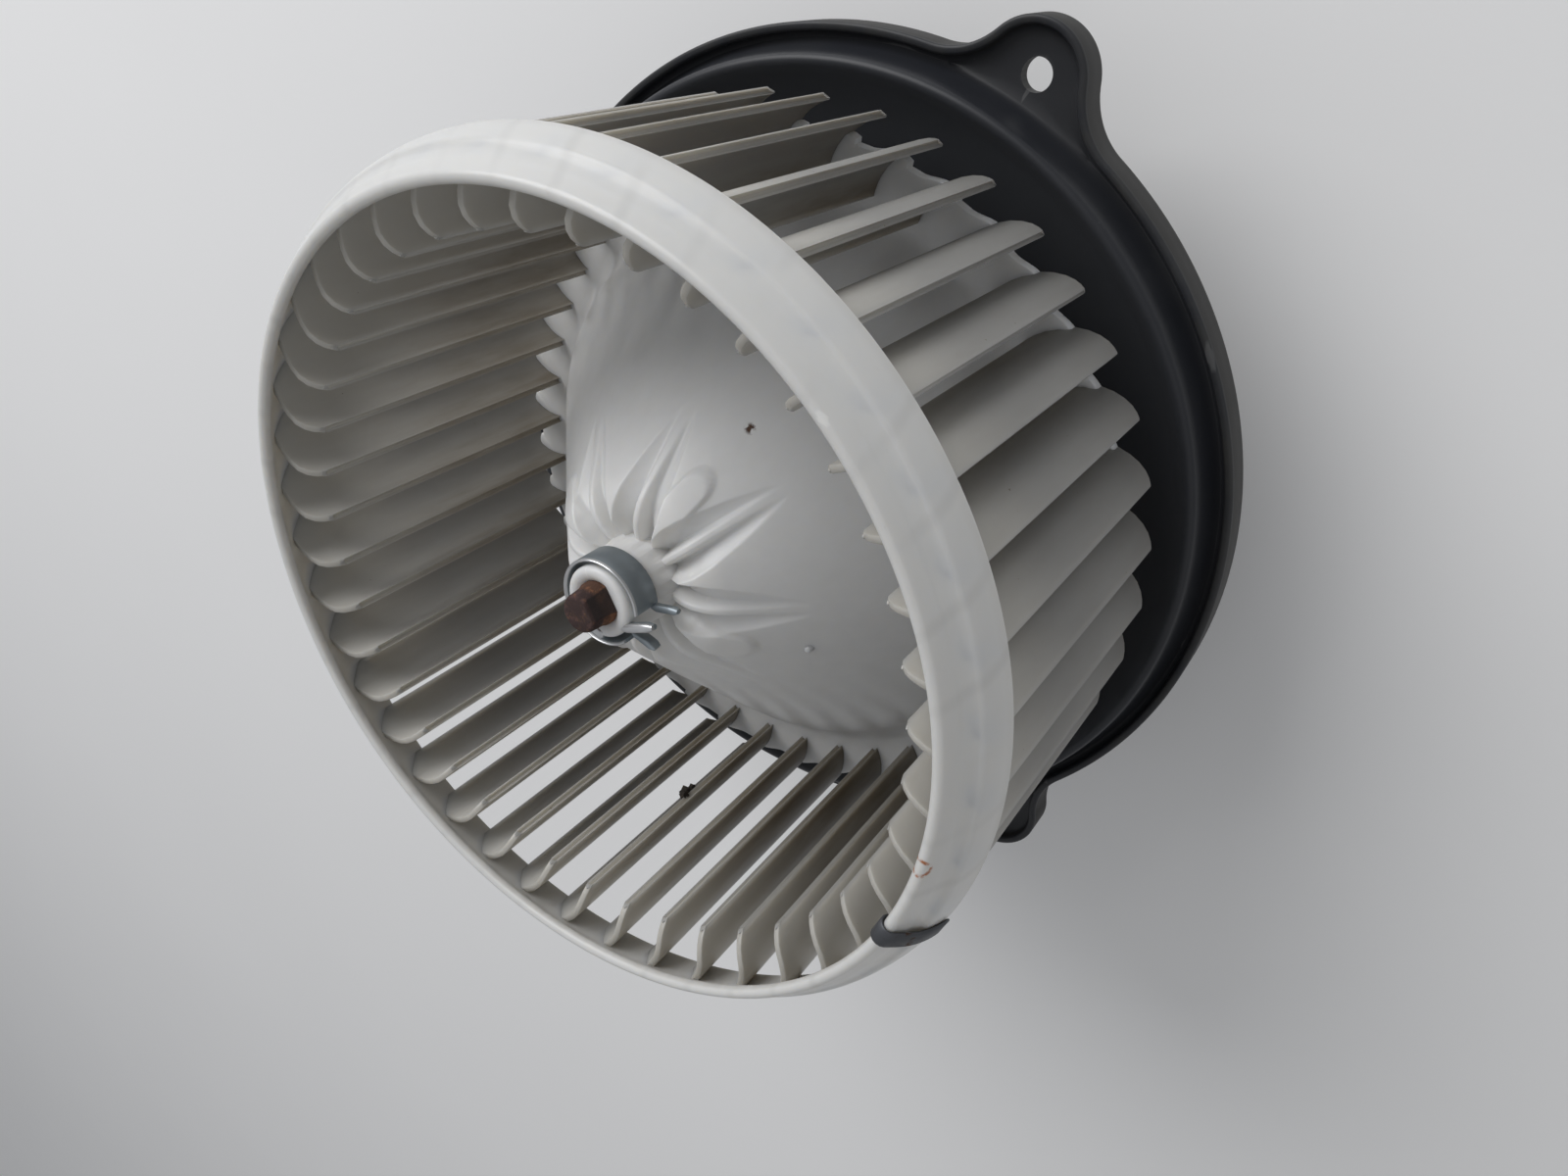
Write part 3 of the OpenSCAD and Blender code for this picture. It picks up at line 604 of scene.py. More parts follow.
def ring_paint():
    """The inlet ring: glossy and clean outside, dusty inside, with painted shade of the blades seen
    through its wall and a rust ring.
    """
    def mark(p, cover):
        r, z = p.radius(), p.height()
        reach = p.length(p.math("SUBTRACT", r, RING_CENTRE[0]),
                         p.math("SUBTRACT", z, RING_CENTRE[1]))
        inside = p.step(reach, RING_OUT - 0.9, RING_OUT - 1.5)
        low = p.step(z, RING_LOW + 2.5, RING_LOW)
        outer = p.math("ADD", p.math("MULTIPLY", low, 0.12), 0.015)
        inner = p.math("ADD", p.math("MULTIPLY", cover, 0.35), 0.03)
        keep = p.math("SUBTRACT", 1.0, inside)
        return p.math("ADD", p.times(inside, inner), p.times(keep, p.times(
            outer, p.math("MULTIPLY_ADD", p.noise(14, 3), 1.4, 0.3))), clamp=True)

    p = plastic_paint("inlet_ring_plastic", (0.62, 0.62, 0.606), (0.25, 0.7), mark, 0.35, 0.30)
    # Painted shade: darker stripes where the blades stand behind the ring's wall.
    turn = p.math("MULTIPLY", p.angle(), BLADE_COUNT / (2 * math.pi))
    turn = p.math("SUBTRACT", turn, BLADE_PHASE / BLADE_PITCH)
    lean = p.math("MULTIPLY", p.math("SUBTRACT", p.height(), RING_LOW), 0.035)
    share = p.math("FRACT", p.math("ADD", p.math("ADD", turn, lean), 8.0))
    blade_shade_through_wall = p.step(p.math("ABSOLUTE", p.math("SUBTRACT", share, 0.5)), 0.36, 0.49)
    blade_shade_through_wall = p.times(blade_shade_through_wall, p.step(p.noise(18, 2), 0.3, 0.62), 0.30)
    p.coat((0.46, 0.46, 0.45), blade_shade_through_wall)
    centre = (*polar(69.7, -74.5), LIP_HIGH)
    rust = p.times(p.near(centre, 1.6, 2.0), p.math("SUBTRACT", 1.0, p.near(centre, 1.0, 1.4)))
    p.coat((0.36, 0.13, 0.045), p.times(rust, p.step(p.noise(0.9, 3), 0.35, 0.6)))
    scuffs = p.step(p.noise(5, 6, 0.7, stretch=(1, 1, 0.35)), 0.66, 0.74)
    p.coat((0.42, 0.41, 0.38), p.times(scuffs, 0.25), 0.5)
    return p.done()


def hub_paint():
    """The hub: fairly clean, with dust at its foot and in the flutes, and small brown specks."""
    def mark(p, cover):
        foot = p.step(p.height(), CONE_FOOT[1] + 6, DISC_HIGH)
        flute = p.step(p.radius(), 22, 9)
        extra = p.math("ADD", p.times(foot, 0.08), p.times(flute, 0.10))
        return p.math("ADD", p.math("MULTIPLY", cover, 0.30), extra, clamp=True)

    p = plastic_paint("hub_plastic", (0.84, 0.84, 0.83), (0.08, 0.35), mark, 0.35, 0.30)
    for spot, size in (((*polar(30.0, -2.2), 48.0), 0.8), ((*polar(50, 128), 24), 0.5),
                       ((*polar(41, -50), 36), 0.35)):
        blot = p.times(p.near(spot, size * 0.6, size * 1.6), p.step(p.noise(0.8, 3), 0.4, 0.55))
        p.coat((0.09, 0.045, 0.025), blot, 0.7)
    return p.done()


def blade_paint():
    """The blades: warm dust in long streaks, heavier towards their inner edges and the disc, and
    painted shade on their outer parts towards the flange.
    """
    def mark(p, cover):
        r = p.radius()
        inner = p.step(r, 73, 62)
        streak = p.step(p.noise(2.2, 4, stretch=(1, 1, 16)), 0.42, 0.7)
        depth = p.step(p.height(), BLADE_HIGH - 2, BLADE_LOW + 18)
        extra = p.times(inner, p.math("MULTIPLY_ADD", streak, 0.08, 0.2), p.math("ADD", depth, 0.1))
        keep = p.math("MULTIPLY_ADD", depth, 0.85, 0.2)
        return p.math("ADD", p.times(cover, keep), extra, clamp=True)

    p = plastic_paint("blade_plastic", (0.44, 0.43, 0.40), (0.26, 0.5), mark, 0.0)
    # Painted shade: the outer parts of the blades are painted darker towards the flange.
    outer = p.times(p.step(p.radius(), 63, 71), p.step(p.height(), RING_LOW + 4, BLADE_LOW + 34))
    p.coat((0.20, 0.20, 0.195), p.times(outer, 0.8), 0.5)
    specks = p.times(p.step(p.noise(1.1, 2), 0.76, 0.8), 0.7)
    p.coat((0.12, 0.09, 0.06), specks, 0.7)
    return p.done()


def crumb_paint():
    """Nearly black dirt."""
    p = Paint("dark_crumb", (0.022, 0.018, 0.014), 0.9)
    p.coat((0.06, 0.045, 0.03), p.step(p.noise(0.5, 3), 0.5, 0.7), 0.95)
    p.relief(p.noise(0.4, 4), 0.15)
    return p.done()


def lump(shape, centre, size):
    """A small uneven crumb."""
    angles = np.radians(np.arange(12) * 30.0)
    rings = []
    for lift in (-0.97, -0.7, -0.25, 0.25, 0.7, 0.97):
        uneven = 1 + 0.3 * np.sin(3 * angles + 5 * lift) + 0.15 * np.cos(5 * angles)
        r = math.sqrt(1 - lift ** 2) * uneven
        rings.append(np.column_stack([r * np.cos(angles) * size, r * np.sin(angles) * size,
                                      np.full(12, lift * size * 1.2)]) + centre)
    shape.rings(rings, CRUMBS, caps=True)


wheel = Shape()
for r, angle, z, size in ((62.0, -158.0, 47.0, 0.95), (63.0, -158.7, 45.4, 1.25),
                          (62.5, -158.3, 43.8, 0.75)):
    lump(wheel, (*polar(r, angle), z), size)
wheel_hub(wheel)
hub_nib(wheel)
wheel_ring(wheel)
wheel_blades(wheel)
wheel_paints = [ring_paint(), hub_paint(), blade_paint(), crumb_paint()]
wheel_obj = wheel.make("fan_wheel_moulding", wheel_paints, 42, "rotor")
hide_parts("fan_wheel")


# ---- spring clip, balance clip and shaft ----

CLIP_LOW, CLIP_HIGH = (corner[2] for corner in box_mm("hub_clip"))
CLIP_R, CLIP_WALL = 7.7, 0.55
RUST_EDGE = BOSS_HIGH + 1.6  # the browner rust on the shaft ends here
BALANCE_ANGLE, BALANCE_WIDTH, BALANCE_WALL, BALANCE_GAP = -88.0, 3.9, 0.55, 0.35


def steel_paint(name, colour, roughness, stain=None, stain_cover=0.0, highlight_above=None):
    """Sheet steel: brushed, with dull patches, painted highlights on its edges, and maybe a stain
    or a painted highlight along its front edge.
    """
    p = Paint(name, colour, roughness, metallic=0.75)
    p.relief(p.noise(0.5, 3, stretch=(6, 6, 1)), 0.01)
    dull = p.step(p.noise(4, 5), 0.45, 0.7)
    p.coat(tuple(c * 0.7 for c in colour), p.times(dull, 0.5), min(roughness + 0.2, 0.9))
    # Painted highlight: convex edges are painted lighter.
    p.coat(tuple(min(c * 1.9, 0.9) for c in colour), p.times(p.edges(0.53, 0.62), 0.7))
    if stain:
        patch = p.step(p.noise(2.5, 6, 0.65), 0.75 - stain_cover, 0.85 - stain_cover)
        p.coat(stain, patch, 0.85)
    if highlight_above is not None:
        # Painted highlight: a light band along the top edge.
        p.coat((0.62, 0.63, 0.64), p.step(p.height(), highlight_above - 0.3, highlight_above), 0.35)
    return p.done()


def spring_clip():
    """A thin open band round the boss, its ends turned out as tangs."""
    shape = Shape()
    upright = (0, 0, 1)
    low, high = CLIP_LOW + 3.2, BOSS_HIGH - 0.4
    path = [(*polar(CLIP_R + 0.3 * smooth(abs(a - 90), 60, 150), a), (low + high) / 2)
            for a in np.linspace(-64, 247, 90)]
    shape.rings(bar(path, high - low, CLIP_WALL, upright, 0.2, 1.0), caps=True)
    for start, end, z, drop, width, thick, up in (
            ((5.9, -101), (11.7, -69), BOSS_HIGH - 0.9, 0, 1.7, 1.5, upright),
            ((7.9, -67.7), (13.4, -62.2), CLIP_HIGH - 3.8, 0, 1.5, 1.3, upright),
            ((7.2, -105), (12.2, -99), CLIP_HIGH - 1.4, 0.5, 2.8, 1.1, (0.3, -0.5, 1)),
            ((6.3, -146), (5.4, -175), BOSS_HIGH - 0.6, 0, 1.6, 1.8, upright)):
        path = [(*(polar(*start) * (1 - t) + polar(*end) * t), z - drop * t)
                for t in np.linspace(0, 1, 7)]
        shape.rings(bar(path, width, thick, up, 0.3, 0.6), caps=True)
    return shape


clip_steel = steel_paint("clip_spring_steel", (0.24, 0.27, 0.29), 0.5, highlight_above=BOSS_HIGH - 0.75)
clip_obj = spring_clip().make("hub_spring_clip", [clip_steel], 45, "rotor")
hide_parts("hub_clip")


def ring_clip():
    """A strip of sheet steel over the ring's lip."""
    shape = Shape()
    profile = arc_points(RING_CENTRE, RING_OUT + BALANCE_GAP, 10, 44, 14)
    profile += arc_points(LIP_CENTRE, LIP_ROUND + 0.4, 48, 215, 9)
    profile += arc_points(RING_CENTRE, RING_OUT - RING_WALL - BALANCE_GAP, 43, 36, 3)
    path = [(*polar(r, BALANCE_ANGLE), z) for r, z in profile]
    across = (*polar(1, BALANCE_ANGLE + 90), 0)
    shape.rings(bar(path, BALANCE_WIDTH, BALANCE_WALL, across, 0.2, 0.7), caps=True)
    return shape


balance_steel = steel_paint("balance_clip_steel", (0.075, 0.078, 0.085), 0.55,
                            stain=(0.09, 0.05, 0.03), stain_cover=0.16)
balance_obj = ring_clip().make("balance_weight_clip", [balance_steel], 45, "rotor")
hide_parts("balance_clip")


def shaft_paint():
    """Bright ground steel where the bearings run, and thick brown rust on the end in the wheel."""
    p = Paint("shaft_rusty_steel", (0.50, 0.49, 0.47), 0.3, metallic=0.9)
    rust = p.step(p.height(), 44, 60)
    rust = p.math("ADD", rust, p.times(p.step(p.noise(3, 5), 0.55, 0.7), 0.5), clamp=True)
    p.coat((0.085, 0.046, 0.042), rust, 0.85)
    p.coat((0.20, 0.088, 0.045), p.times(rust, p.step(p.height(), RUST_EDGE + 1, RUST_EDGE)), 0.9)
    bright = p.step(p.noise(1.0, 5, 0.7), 0.52, 0.66)
    p.coat((0.21, 0.105, 0.055), p.times(rust, bright, 0.8), 0.9)
    dark = p.step(p.noise(1.6, 5, 0.7), 0.60, 0.50)
    p.coat((0.028, 0.019, 0.018), p.times(rust, dark, 0.6), 0.9)
    # Painted shade: the rust on the flat is painted darker.
    flat_shade = p.step(p.facing((*polar(1, FLAT_ANGLE), 0)), 0.90, 0.99)
    p.coat((0.030, 0.022, 0.021), p.times(rust, flat_shade, 0.8), 0.8)
    metal = p.math("SUBTRACT", 0.9, p.math("MULTIPLY", rust, 0.85), clamp=True)
    p.link(metal, p.shader.inputs["Metallic"])
    p.relief(p.times(rust, p.noise(0.7, 6, 0.75)), 0.35)
    return p.done()


def shaft_shape():
    """The shaft: round in the motor, flatted in the wheel and worn slim at its end."""
    low, high = (corner[2] for corner in box_mm("motor_shaft"))
    degrees = FLAT_ANGLE + np.linspace(-180, 180, 129)[:-1]
    whole, flatted = np.full(len(degrees), SHAFT_R), shaft_radius(degrees)
    rings = []
    for r, share, z in ((whole, 0.3, low), (whole, 0.9, low), (whole, 1, low + 0.5), (whole, 1, 49),
                        (flatted, 1, 49.6), (flatted, 1, 60), (flatted, 1, BOSS_HIGH + 0.2),
                        (flatted, 0.93, BOSS_HIGH + 1), (flatted, 0.9, BOSS_HIGH + 2.5),
                        (flatted, 0.88, high - 0.7), (flatted, 0.83, high - 0.2),
                        (flatted, 0.75, high), (flatted, 0.3, high - 0.12)):
        rings.append(ring(r * share, degrees, z))
    shape = Shape()
    shape.rings(rings, caps=True)
    return shape


shaft_obj = shaft_shape().make("motor_shaft_ground", [shaft_paint()], 40, "rotor")
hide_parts("motor_shaft")


# ---- flange ----

RIM_R, RIM_T = 84.6, 1.6
RIM_HIGH, RIM_LOW = 2.5, -4.8
RIM_EDGE, RIM_FOOT = 0.5, 1.2  # the radius on the rim's top, and the one at its inner foot
EAR_HEAD_X, EAR_HEAD_R, EAR_BLEND_R = 86.0, 10.0, 14.0
EAR_ANGLES = (0, 120, 240)
EAR_PCD, EAR_HOLE = 174.0, 5.5
PLATE_T = 2.5
RIDGE_R = 79.0
CHANNEL_R = RIDGE_R + 3.1
COLLAR_R = 37.5
STIFFENERS, STIFFENER_HIGH = 12, 5.6
SCREW_ANGLES, SCREW_RING = (30, 150, 270), 47.0


def outline(degrees, inset):
    """Radius of the flange's outside at each angle, with its ears, drawn in by inset."""
    off = np.abs((degrees + 60) % 120 - 60)
    a = np.radians(off)
    reach, head_reach = RIM_R + EAR_BLEND_R, EAR_HEAD_R + EAR_BLEND_R
    bx = (reach ** 2 - head_reach ** 2 + EAR_HEAD_X ** 2) / (2 * EAR_HEAD_X)
    by = math.sqrt(reach ** 2 - bx ** 2)
    foot = math.degrees(math.atan2(by, bx))
    head_middle = np.array([EAR_HEAD_X, 0])
    neck = head_middle + (np.array([bx, by]) - head_middle) * (EAR_HEAD_R - inset) / head_reach
    neck_angle = math.degrees(math.atan2(neck[1], neck[0]))
    head = EAR_HEAD_X * np.cos(a) + np.sqrt(np.maximum(
        (EAR_HEAD_R - inset) ** 2 - (EAR_HEAD_X * np.sin(a)) ** 2, 0))
    blend = bx * np.cos(a) + by * np.sin(a) - np.sqrt(np.maximum(
        (EAR_BLEND_R + inset) ** 2 - (bx * np.sin(a) - by * np.cos(a)) ** 2, 0))
    return np.where(off < neck_angle, head, np.where(off < foot, blend, RIM_R - inset))


def flange_angles():
    """Angles round the flange, closer together at the ears."""
    ear = np.arange(-14, 14, 0.25)
    rest = np.arange(14, 106, 1.0)
    return np.concatenate([np.concatenate([ear, rest]) + a for a in EAR_ANGLES])


def flange_body():
    """The moulding's skin: dish, ridge, channel and rim, then back along the underside."""
    a = flange_angles()
    rings = []

    def plain(points):
        rings.extend(lathe(points, a))

    def shaped(inset, z, share=1.0, start=0.0):
        rings.append(ring(start + (outline(a, inset) - start) * share, a, z))

    dish = (59, 1.05)
    plain([(33.6, 1.0), (36, 1.0), (48, 1.0), dish])
    plain(curve_points(dish, (71.5, 1.4), (77.35, 7.1), 12))
    plain(arc_points((RIDGE_R - 0.4, 6.45), 1.25, 132, 18, 8))
    plain(curve_points((RIDGE_R + 0.79, 6.8), (RIDGE_R + 1.7, 0.3), (CHANNEL_R, 0.02), 6))
    for share in (0.2, 0.4, 0.6, 0.8, 0.93):
        shaped(RIM_T + RIM_FOOT, -0.12 * math.sin(share * math.pi), share, CHANNEL_R)
    shaped(RIM_T + RIM_FOOT, 0.0)
    for x in np.radians([27, 54, 76.5]):
        shaped(RIM_T + RIM_FOOT * (1 - math.sin(x)), RIM_FOOT * (1 - math.cos(x)))
    shaped(RIM_T, RIM_FOOT)
    shaped(RIM_T - 0.05, RIM_HIGH - RIM_EDGE)
    for k in (0.25, 0.5, 0.75):
        shaped(RIM_T - 0.05 - RIM_EDGE * k, RIM_HIGH - RIM_EDGE * (1 - math.sin(k * math.pi / 2)))
    shaped(0.55, RIM_HIGH)
    for x in np.radians([27, 58.5, 90]):
        shaped(RIM_EDGE * (1 - math.sin(x)), RIM_HIGH - RIM_EDGE * (1 - math.cos(x)))
    for inset, z in ((0.0, -1.5), (0.0, RIM_LOW + 0.4), (0.35, RIM_LOW), (RIM_T - 0.3, RIM_LOW),
                     (RIM_T, RIM_LOW + 0.3), (RIM_T, -PLATE_T - 0.4), (RIM_T + 0.4, -PLATE_T)):
        shaped(inset, z)
    for share in (0.7, 0.35, 0.0):
        shaped(RIM_T + 0.4, -PLATE_T, share, RIDGE_R + 0.9)
    plain([(RIDGE_R + 0.2, -1.8), (RIDGE_R - 0.3, 3), (77.5, 3.4), (76.4, 2.4), (72, 0.5)])
    plain([(60, -1.5), (39, -1.5), (38.5, -2.0), (38.5, -8.1), (38.1, -8.5), (36.4, -8.5)])
    plain([(36, -8.1), (36, -1.4), (35.6, -1), (33.6, -1), (33.2, -0.6), (33.2, 0.6)])
    shape = Shape()
    shape.rings(rings, round_rings=True)
    return shape


def cutter(name, where, radius, low, high):
    """A hidden round tool for a boolean cut."""
    shape = Shape()
    post(shape, ((radius, low), (radius, high)), (*where, 0))
    return shape.make(name, [])


def cut(obj, tools):
    """Cuts closed tools out of obj and deletes them."""
    for tool in tools:
        change = obj.modifiers.new("cut", "BOOLEAN")
        change.operation = "DIFFERENCE"
        change.solver = "EXACT"
        change.object = tool
    mesh = apply_modifiers(obj)
    for tool in tools:
        bpy.data.objects.remove(tool)
    mesh.shade_smooth()
    mesh.set_sharp_from_angle(angle=math.radians(40))


def flange_paint():
    """Blue-black satin moulding, dusty in its channel and olive-brown on the outside of its rim."""
    p = Paint("flange_satin_plastic", (0.018, 0.0195, 0.024), 0.40)
    p.set("Specular IOR Level", 0.4)
    r, z = p.radius(), p.height()
    cloud = p.noise(20, 4)
    upright = p.step(p.facing((0, 0, 1)), 0.7, 0.3)
    outer = p.times(p.step(r, RIM_R - 1.3, RIM_R - 0.2), p.step(z, 2.4, 1.2), upright)
    p.coat((0.024, 0.022, 0.017), p.times(outer, p.math("MULTIPLY_ADD", cloud, 0.7, 0.3)), 0.7)
    lip = p.times(p.step(r, RIM_R - 1.9, RIM_R - 1.3), p.step(z, 1.6, 2.3))
    p.coat((0.036, 0.035, 0.031), p.times(lip, p.step(p.noise(6, 5), 0.3, 0.7), 0.6), 0.55)
    # Painted sheen: the dish inside the ridge is painted a lighter blue-grey.
    dish = p.step(r, RIDGE_R + 0.5, RIDGE_R - 2)
    p.coat((0.042, 0.044, 0.048), p.times(dish, 0.7), 0.42)
    channel = p.times(p.step(r, RIDGE_R + 1.5, RIDGE_R + 3), p.step(z, 2.2, 0.6))
    p.coat((0.022, 0.021, 0.020), p.times(channel, cloud, 0.5), 0.5)
    film = p.step(p.noise(30, 5, 0.6), 0.40, 0.75)
    p.coat((0.040, 0.041, 0.042), p.times(film, 0.25), 0.5)
    specks = p.step(p.noise(1.3, 3), 0.74, 0.79)
    p.coat((0.22, 0.21, 0.19), p.times(specks, p.step(p.noise(17, 2), 0.5, 0.7)), 0.7)
    # Painted highlight: convex edges are painted lighter.
    p.coat((0.15, 0.15, 0.15), p.times(p.edges(0.53, 0.60), 0.35))
    p.relief(p.noise(0.45, 2), 0.010)
    p.relief(p.noise(12, 2), 0.06)
    return p.done()


def block(shape, centre, size, turn):
    """A rounded upright block, turned about Z through the origin."""
    x, y, z = (s / 2 for s in size)
    k = min(0.35, x * MOST_ROUND, y * MOST_ROUND)
    long, wide = (x, y - k), (x - k, y)
    section = [(sx * a, sy * b) for sx, sy, (a, b) in
               ((1, -1, long), (1, 1, long), (1, 1, wide), (-1, 1, wide),
                (-1, 1, long), (-1, -1, long), (-1, -1, wide), (1, -1, wide))]
    a = math.radians(turn)
    spin = np.array([[math.cos(a), -math.sin(a)], [math.sin(a), math.cos(a)]])
    rings = []
    for inset, h in ((k, -z), (0, -z + k), (0, z - k), (k, z)):
        points = np.array([(px - math.copysign(min(inset, abs(px)), px),
                            py - math.copysign(min(inset, abs(py)), py)) for px, py in section])
        points = (points + centre[:2]) @ spin.T
        rings.append(np.column_stack([points, np.full(len(points), centre[2] + h)]))
    shape.rings(rings, caps=True)


SCREW_POST = ((4.9, -0.6), (4.6, -2.4), (4.5, -8.7), (4.2, -9), (1.9, -9), (1.7, -8.6), (1.7, -2))
flange = flange_body()
rib = (RIDGE_R - COLLAR_R - 1, RIM_T, STIFFENER_HIGH)
for i in range(STIFFENERS):
    block(flange, ((COLLAR_R + RIDGE_R - 1) / 2, 0, -2.2), rib, (i + 0.5) * 360 / STIFFENERS)
for turn in SCREW_ANGLES:
    post(flange, SCREW_POST, (*polar(SCREW_RING, float(turn)), 0))
flange_obj = flange.make("mounting_flange_moulding", [flange_paint()], 40)
cut(flange_obj, [cutter(f"hole_{i}", polar(EAR_PCD / 2, float(a)), EAR_HOLE / 2, -5, 5)
                 for i, a in enumerate(EAR_ANGLES)])
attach(flange_obj, "housing")
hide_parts("mounting_flange")


# ---- pieces that keep their CAD shape, with softened edges ----

BEND = math.radians(35)  # edges that bend more are rounded
SHARP = math.radians(38)


def soften(node, name, material, body, width):
    """A copy of a CAD node with flat faces joined and edges rounded, which stands for the node."""
    def join_flats(b):
        bmesh.ops.remove_doubles(b, verts=b.verts, dist=0.004 * MM)
        bmesh.ops.dissolve_limit(b, angle_limit=math.radians(0.6), verts=b.verts, edges=b.edges)

    mesh = bpy.data.meshes.new(name)
    edit(mesh, join_flats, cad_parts[node].data)
    mesh.materials.clear()
    mesh.materials.append(material)
    mesh.polygons.foreach_set("material_index", [0] * len(mesh.polygons))
    obj = add_object(name, mesh)
    if width:
        change = obj.modifiers.new("round", "BEVEL")
        change.width = width * MM
        change.segments = 2
        change.limit_method = "ANGLE"
        change.angle_limit = BEND
        change.use_clamp_overlap = True
        mesh = apply_modifiers(obj)
        edit(mesh, lambda b: bmesh.ops.dissolve_degenerate(b, dist=0.001 * MM, edges=b.edges))
    mesh.shade_smooth()
    mesh.set_sharp_from_angle(angle=SHARP)
    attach(obj, body)
    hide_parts(node)


def cover_paint():
    """Dark grey moulding with a fine grain, pale scuffs and dust on its upper faces."""
    p = Paint("cover_grained_plastic", (0.030, 0.030, 0.031), 0.5)
    film = p.step(p.noise(22, 5, 0.6), 0.4, 0.75)
    p.coat((0.075, 0.073, 0.068), p.times(film, 0.4), 0.65)
    scratch = p.step(p.noise(1.4, 6, 0.7, stretch=(1, 9, 1)), 0.68, 0.74)
    p.coat((0.13, 0.13, 0.13), p.times(scratch, 0.4), 0.6)
    p.coat((0.11, 0.105, 0.095), p.times(p.step(p.facing((0, 0, 1)), 0.5, 0.95), 0.35), 0.7)
    # Painted highlight: convex edges are painted lighter.
    p.coat((0.14, 0.14, 0.14), p.times(p.edges(0.53, 0.6), 0.3))
    p.relief(p.noise(0.5, 3), 0.02)
    return p.done()


def rubber_paint():
    """Matt black rubber with a grey bloom."""
    p = Paint("mount_rubber", (0.018, 0.018, 0.019), 0.72)
    p.coat((0.07, 0.068, 0.062), p.times(p.step(p.noise(8, 5), 0.4, 0.8), 0.5), 0.85)
    p.relief(p.noise(0.8, 4), 0.03)
    return p.done()


def simple_paint(name, colour, roughness, metallic, spot, spot_cover, grain, depth):
    """A base colour with a second colour in patches and a fine relief."""
    p = Paint(name, colour, roughness, metallic)
    patch = p.step(p.noise(grain * 6, 5, 0.6), 0.42, 0.72)
    p.coat(spot, p.times(patch, spot_cover), min(roughness + 0.15, 0.95))
    # Painted highlight: convex edges are painted lighter.
    p.coat(tuple(min(c * 1.7 + 0.02, 1) for c in colour), p.times(p.edges(0.53, 0.6), 0.35))
    p.relief(p.noise(grain, 3), depth)
    return p.done()


COVER = cover_paint()
RUBBER = rubber_paint()
CAN, SCREWS, FERRITE, SPRING, BRONZE, RETAINER, FELT, PHENOLIC, BRASS, TIN, LEAD, CARD, COPPER, \
    HUB_MOULDING, NYLON, CARBON = (simple_paint(*row) for row in (
    ("motor_can_zinc_steel", (0.52, 0.53, 0.53), 0.34, 0.9, (0.30, 0.29, 0.26), 0.5, 2.0, 0.01),
    ("screw_zinc_steel", (0.60, 0.60, 0.58), 0.3, 0.95, (0.30, 0.24, 0.15), 0.4, 0.7, 0.01),
    ("magnet_ferrite", (0.045, 0.045, 0.05), 0.6, 0.1, (0.09, 0.085, 0.08), 0.5, 1.0, 0.02),
    ("magnet_clip_steel", (0.35, 0.36, 0.38), 0.3, 0.95, (0.18, 0.18, 0.19), 0.4, 1.0, 0.01),
    ("bearing_bronze", (0.50, 0.33, 0.15), 0.45, 0.9, (0.25, 0.16, 0.08), 0.6, 0.5, 0.03),
    ("retainer_steel", (0.45, 0.46, 0.47), 0.35, 0.95, (0.25, 0.25, 0.26), 0.4, 1.0, 0.01),
    ("oil_felt_wool", (0.46, 0.38, 0.26), 0.95, 0.0, (0.24, 0.17, 0.09), 0.7, 0.35, 0.12),
    ("card_phenolic", (0.16, 0.085, 0.045), 0.5, 0.0, (0.24, 0.14, 0.08), 0.5, 0.8, 0.02),
    ("holder_brass", (0.62, 0.46, 0.18), 0.32, 0.95, (0.34, 0.24, 0.10), 0.5, 0.8, 0.01),
    ("pin_tinned_brass", (0.66, 0.64, 0.58), 0.3, 0.95, (0.40, 0.36, 0.26), 0.4, 0.6, 0.01),
    ("lead_insulation_red", (0.36, 0.035, 0.03), 0.42, 0.0, (0.16, 0.03, 0.025), 0.4, 0.6, 0.01),
    ("slot_insulator_card", (0.05, 0.13, 0.07), 0.6, 0.0, (0.09, 0.17, 0.10), 0.5, 0.8, 0.02),
    ("commutator_copper", (0.70, 0.36, 0.20), 0.3, 0.95, (0.16, 0.09, 0.06), 0.6, 0.5, 0.01),
    ("commutator_phenolic", (0.10, 0.055, 0.03), 0.5, 0.0, (0.16, 0.09, 0.05), 0.5, 0.8, 0.02),
    ("washer_nylon", (0.70, 0.67, 0.58), 0.45, 0.0, (0.45, 0.36, 0.24), 0.5, 0.8, 0.01),
    ("brush_carbon", (0.028, 0.028, 0.030), 0.5, 0.25, (0.07, 0.07, 0.07), 0.4, 0.4, 0.02)))


def lamination_paint():
    """Stacked core sheets: thin lines round the stack."""
    p = Paint("armature_stacked_steel", (0.22, 0.22, 0.23), 0.42, metallic=0.85)
    sheet = p.math("FRACT", p.math("MULTIPLY", p.height(), 2.0))
    line = p.step(sheet, 0.80, 0.95)
    p.coat((0.05, 0.045, 0.04), p.times(line, 0.7), 0.7)
    p.coat((0.16, 0.10, 0.06), p.times(p.step(p.noise(5, 5), 0.55, 0.75), 0.6), 0.7)
    p.relief(line, -0.03)
    return p.done()


def winding_paint():
    """Enamelled copper wire: round strands side by side under varnish."""
    p = Paint("winding_enamelled_wire", (0.42, 0.16, 0.06), 0.28, metallic=0.35)
    wave = p.new("ShaderNodeTexWave", {"Scale": 0.55, "Distortion": 1.5, "Detail": 1.0},
                 wave_type="BANDS", bands_direction="DIAGONAL")
    p.link(p.place, wave.inputs["Vector"])
    strand = wave.outputs["Fac"]
    # Painted shade: darker between the strands.
    p.coat((0.16, 0.05, 0.02), p.times(p.step(strand, 0.45, 0.1), 0.8), 0.5)
    # Painted highlight: lighter on the strands' crests.
    p.coat((0.62, 0.30, 0.12), p.times(p.step(strand, 0.8, 1.0), 0.5))
    p.relief(strand, 0.35)
    return p.done()


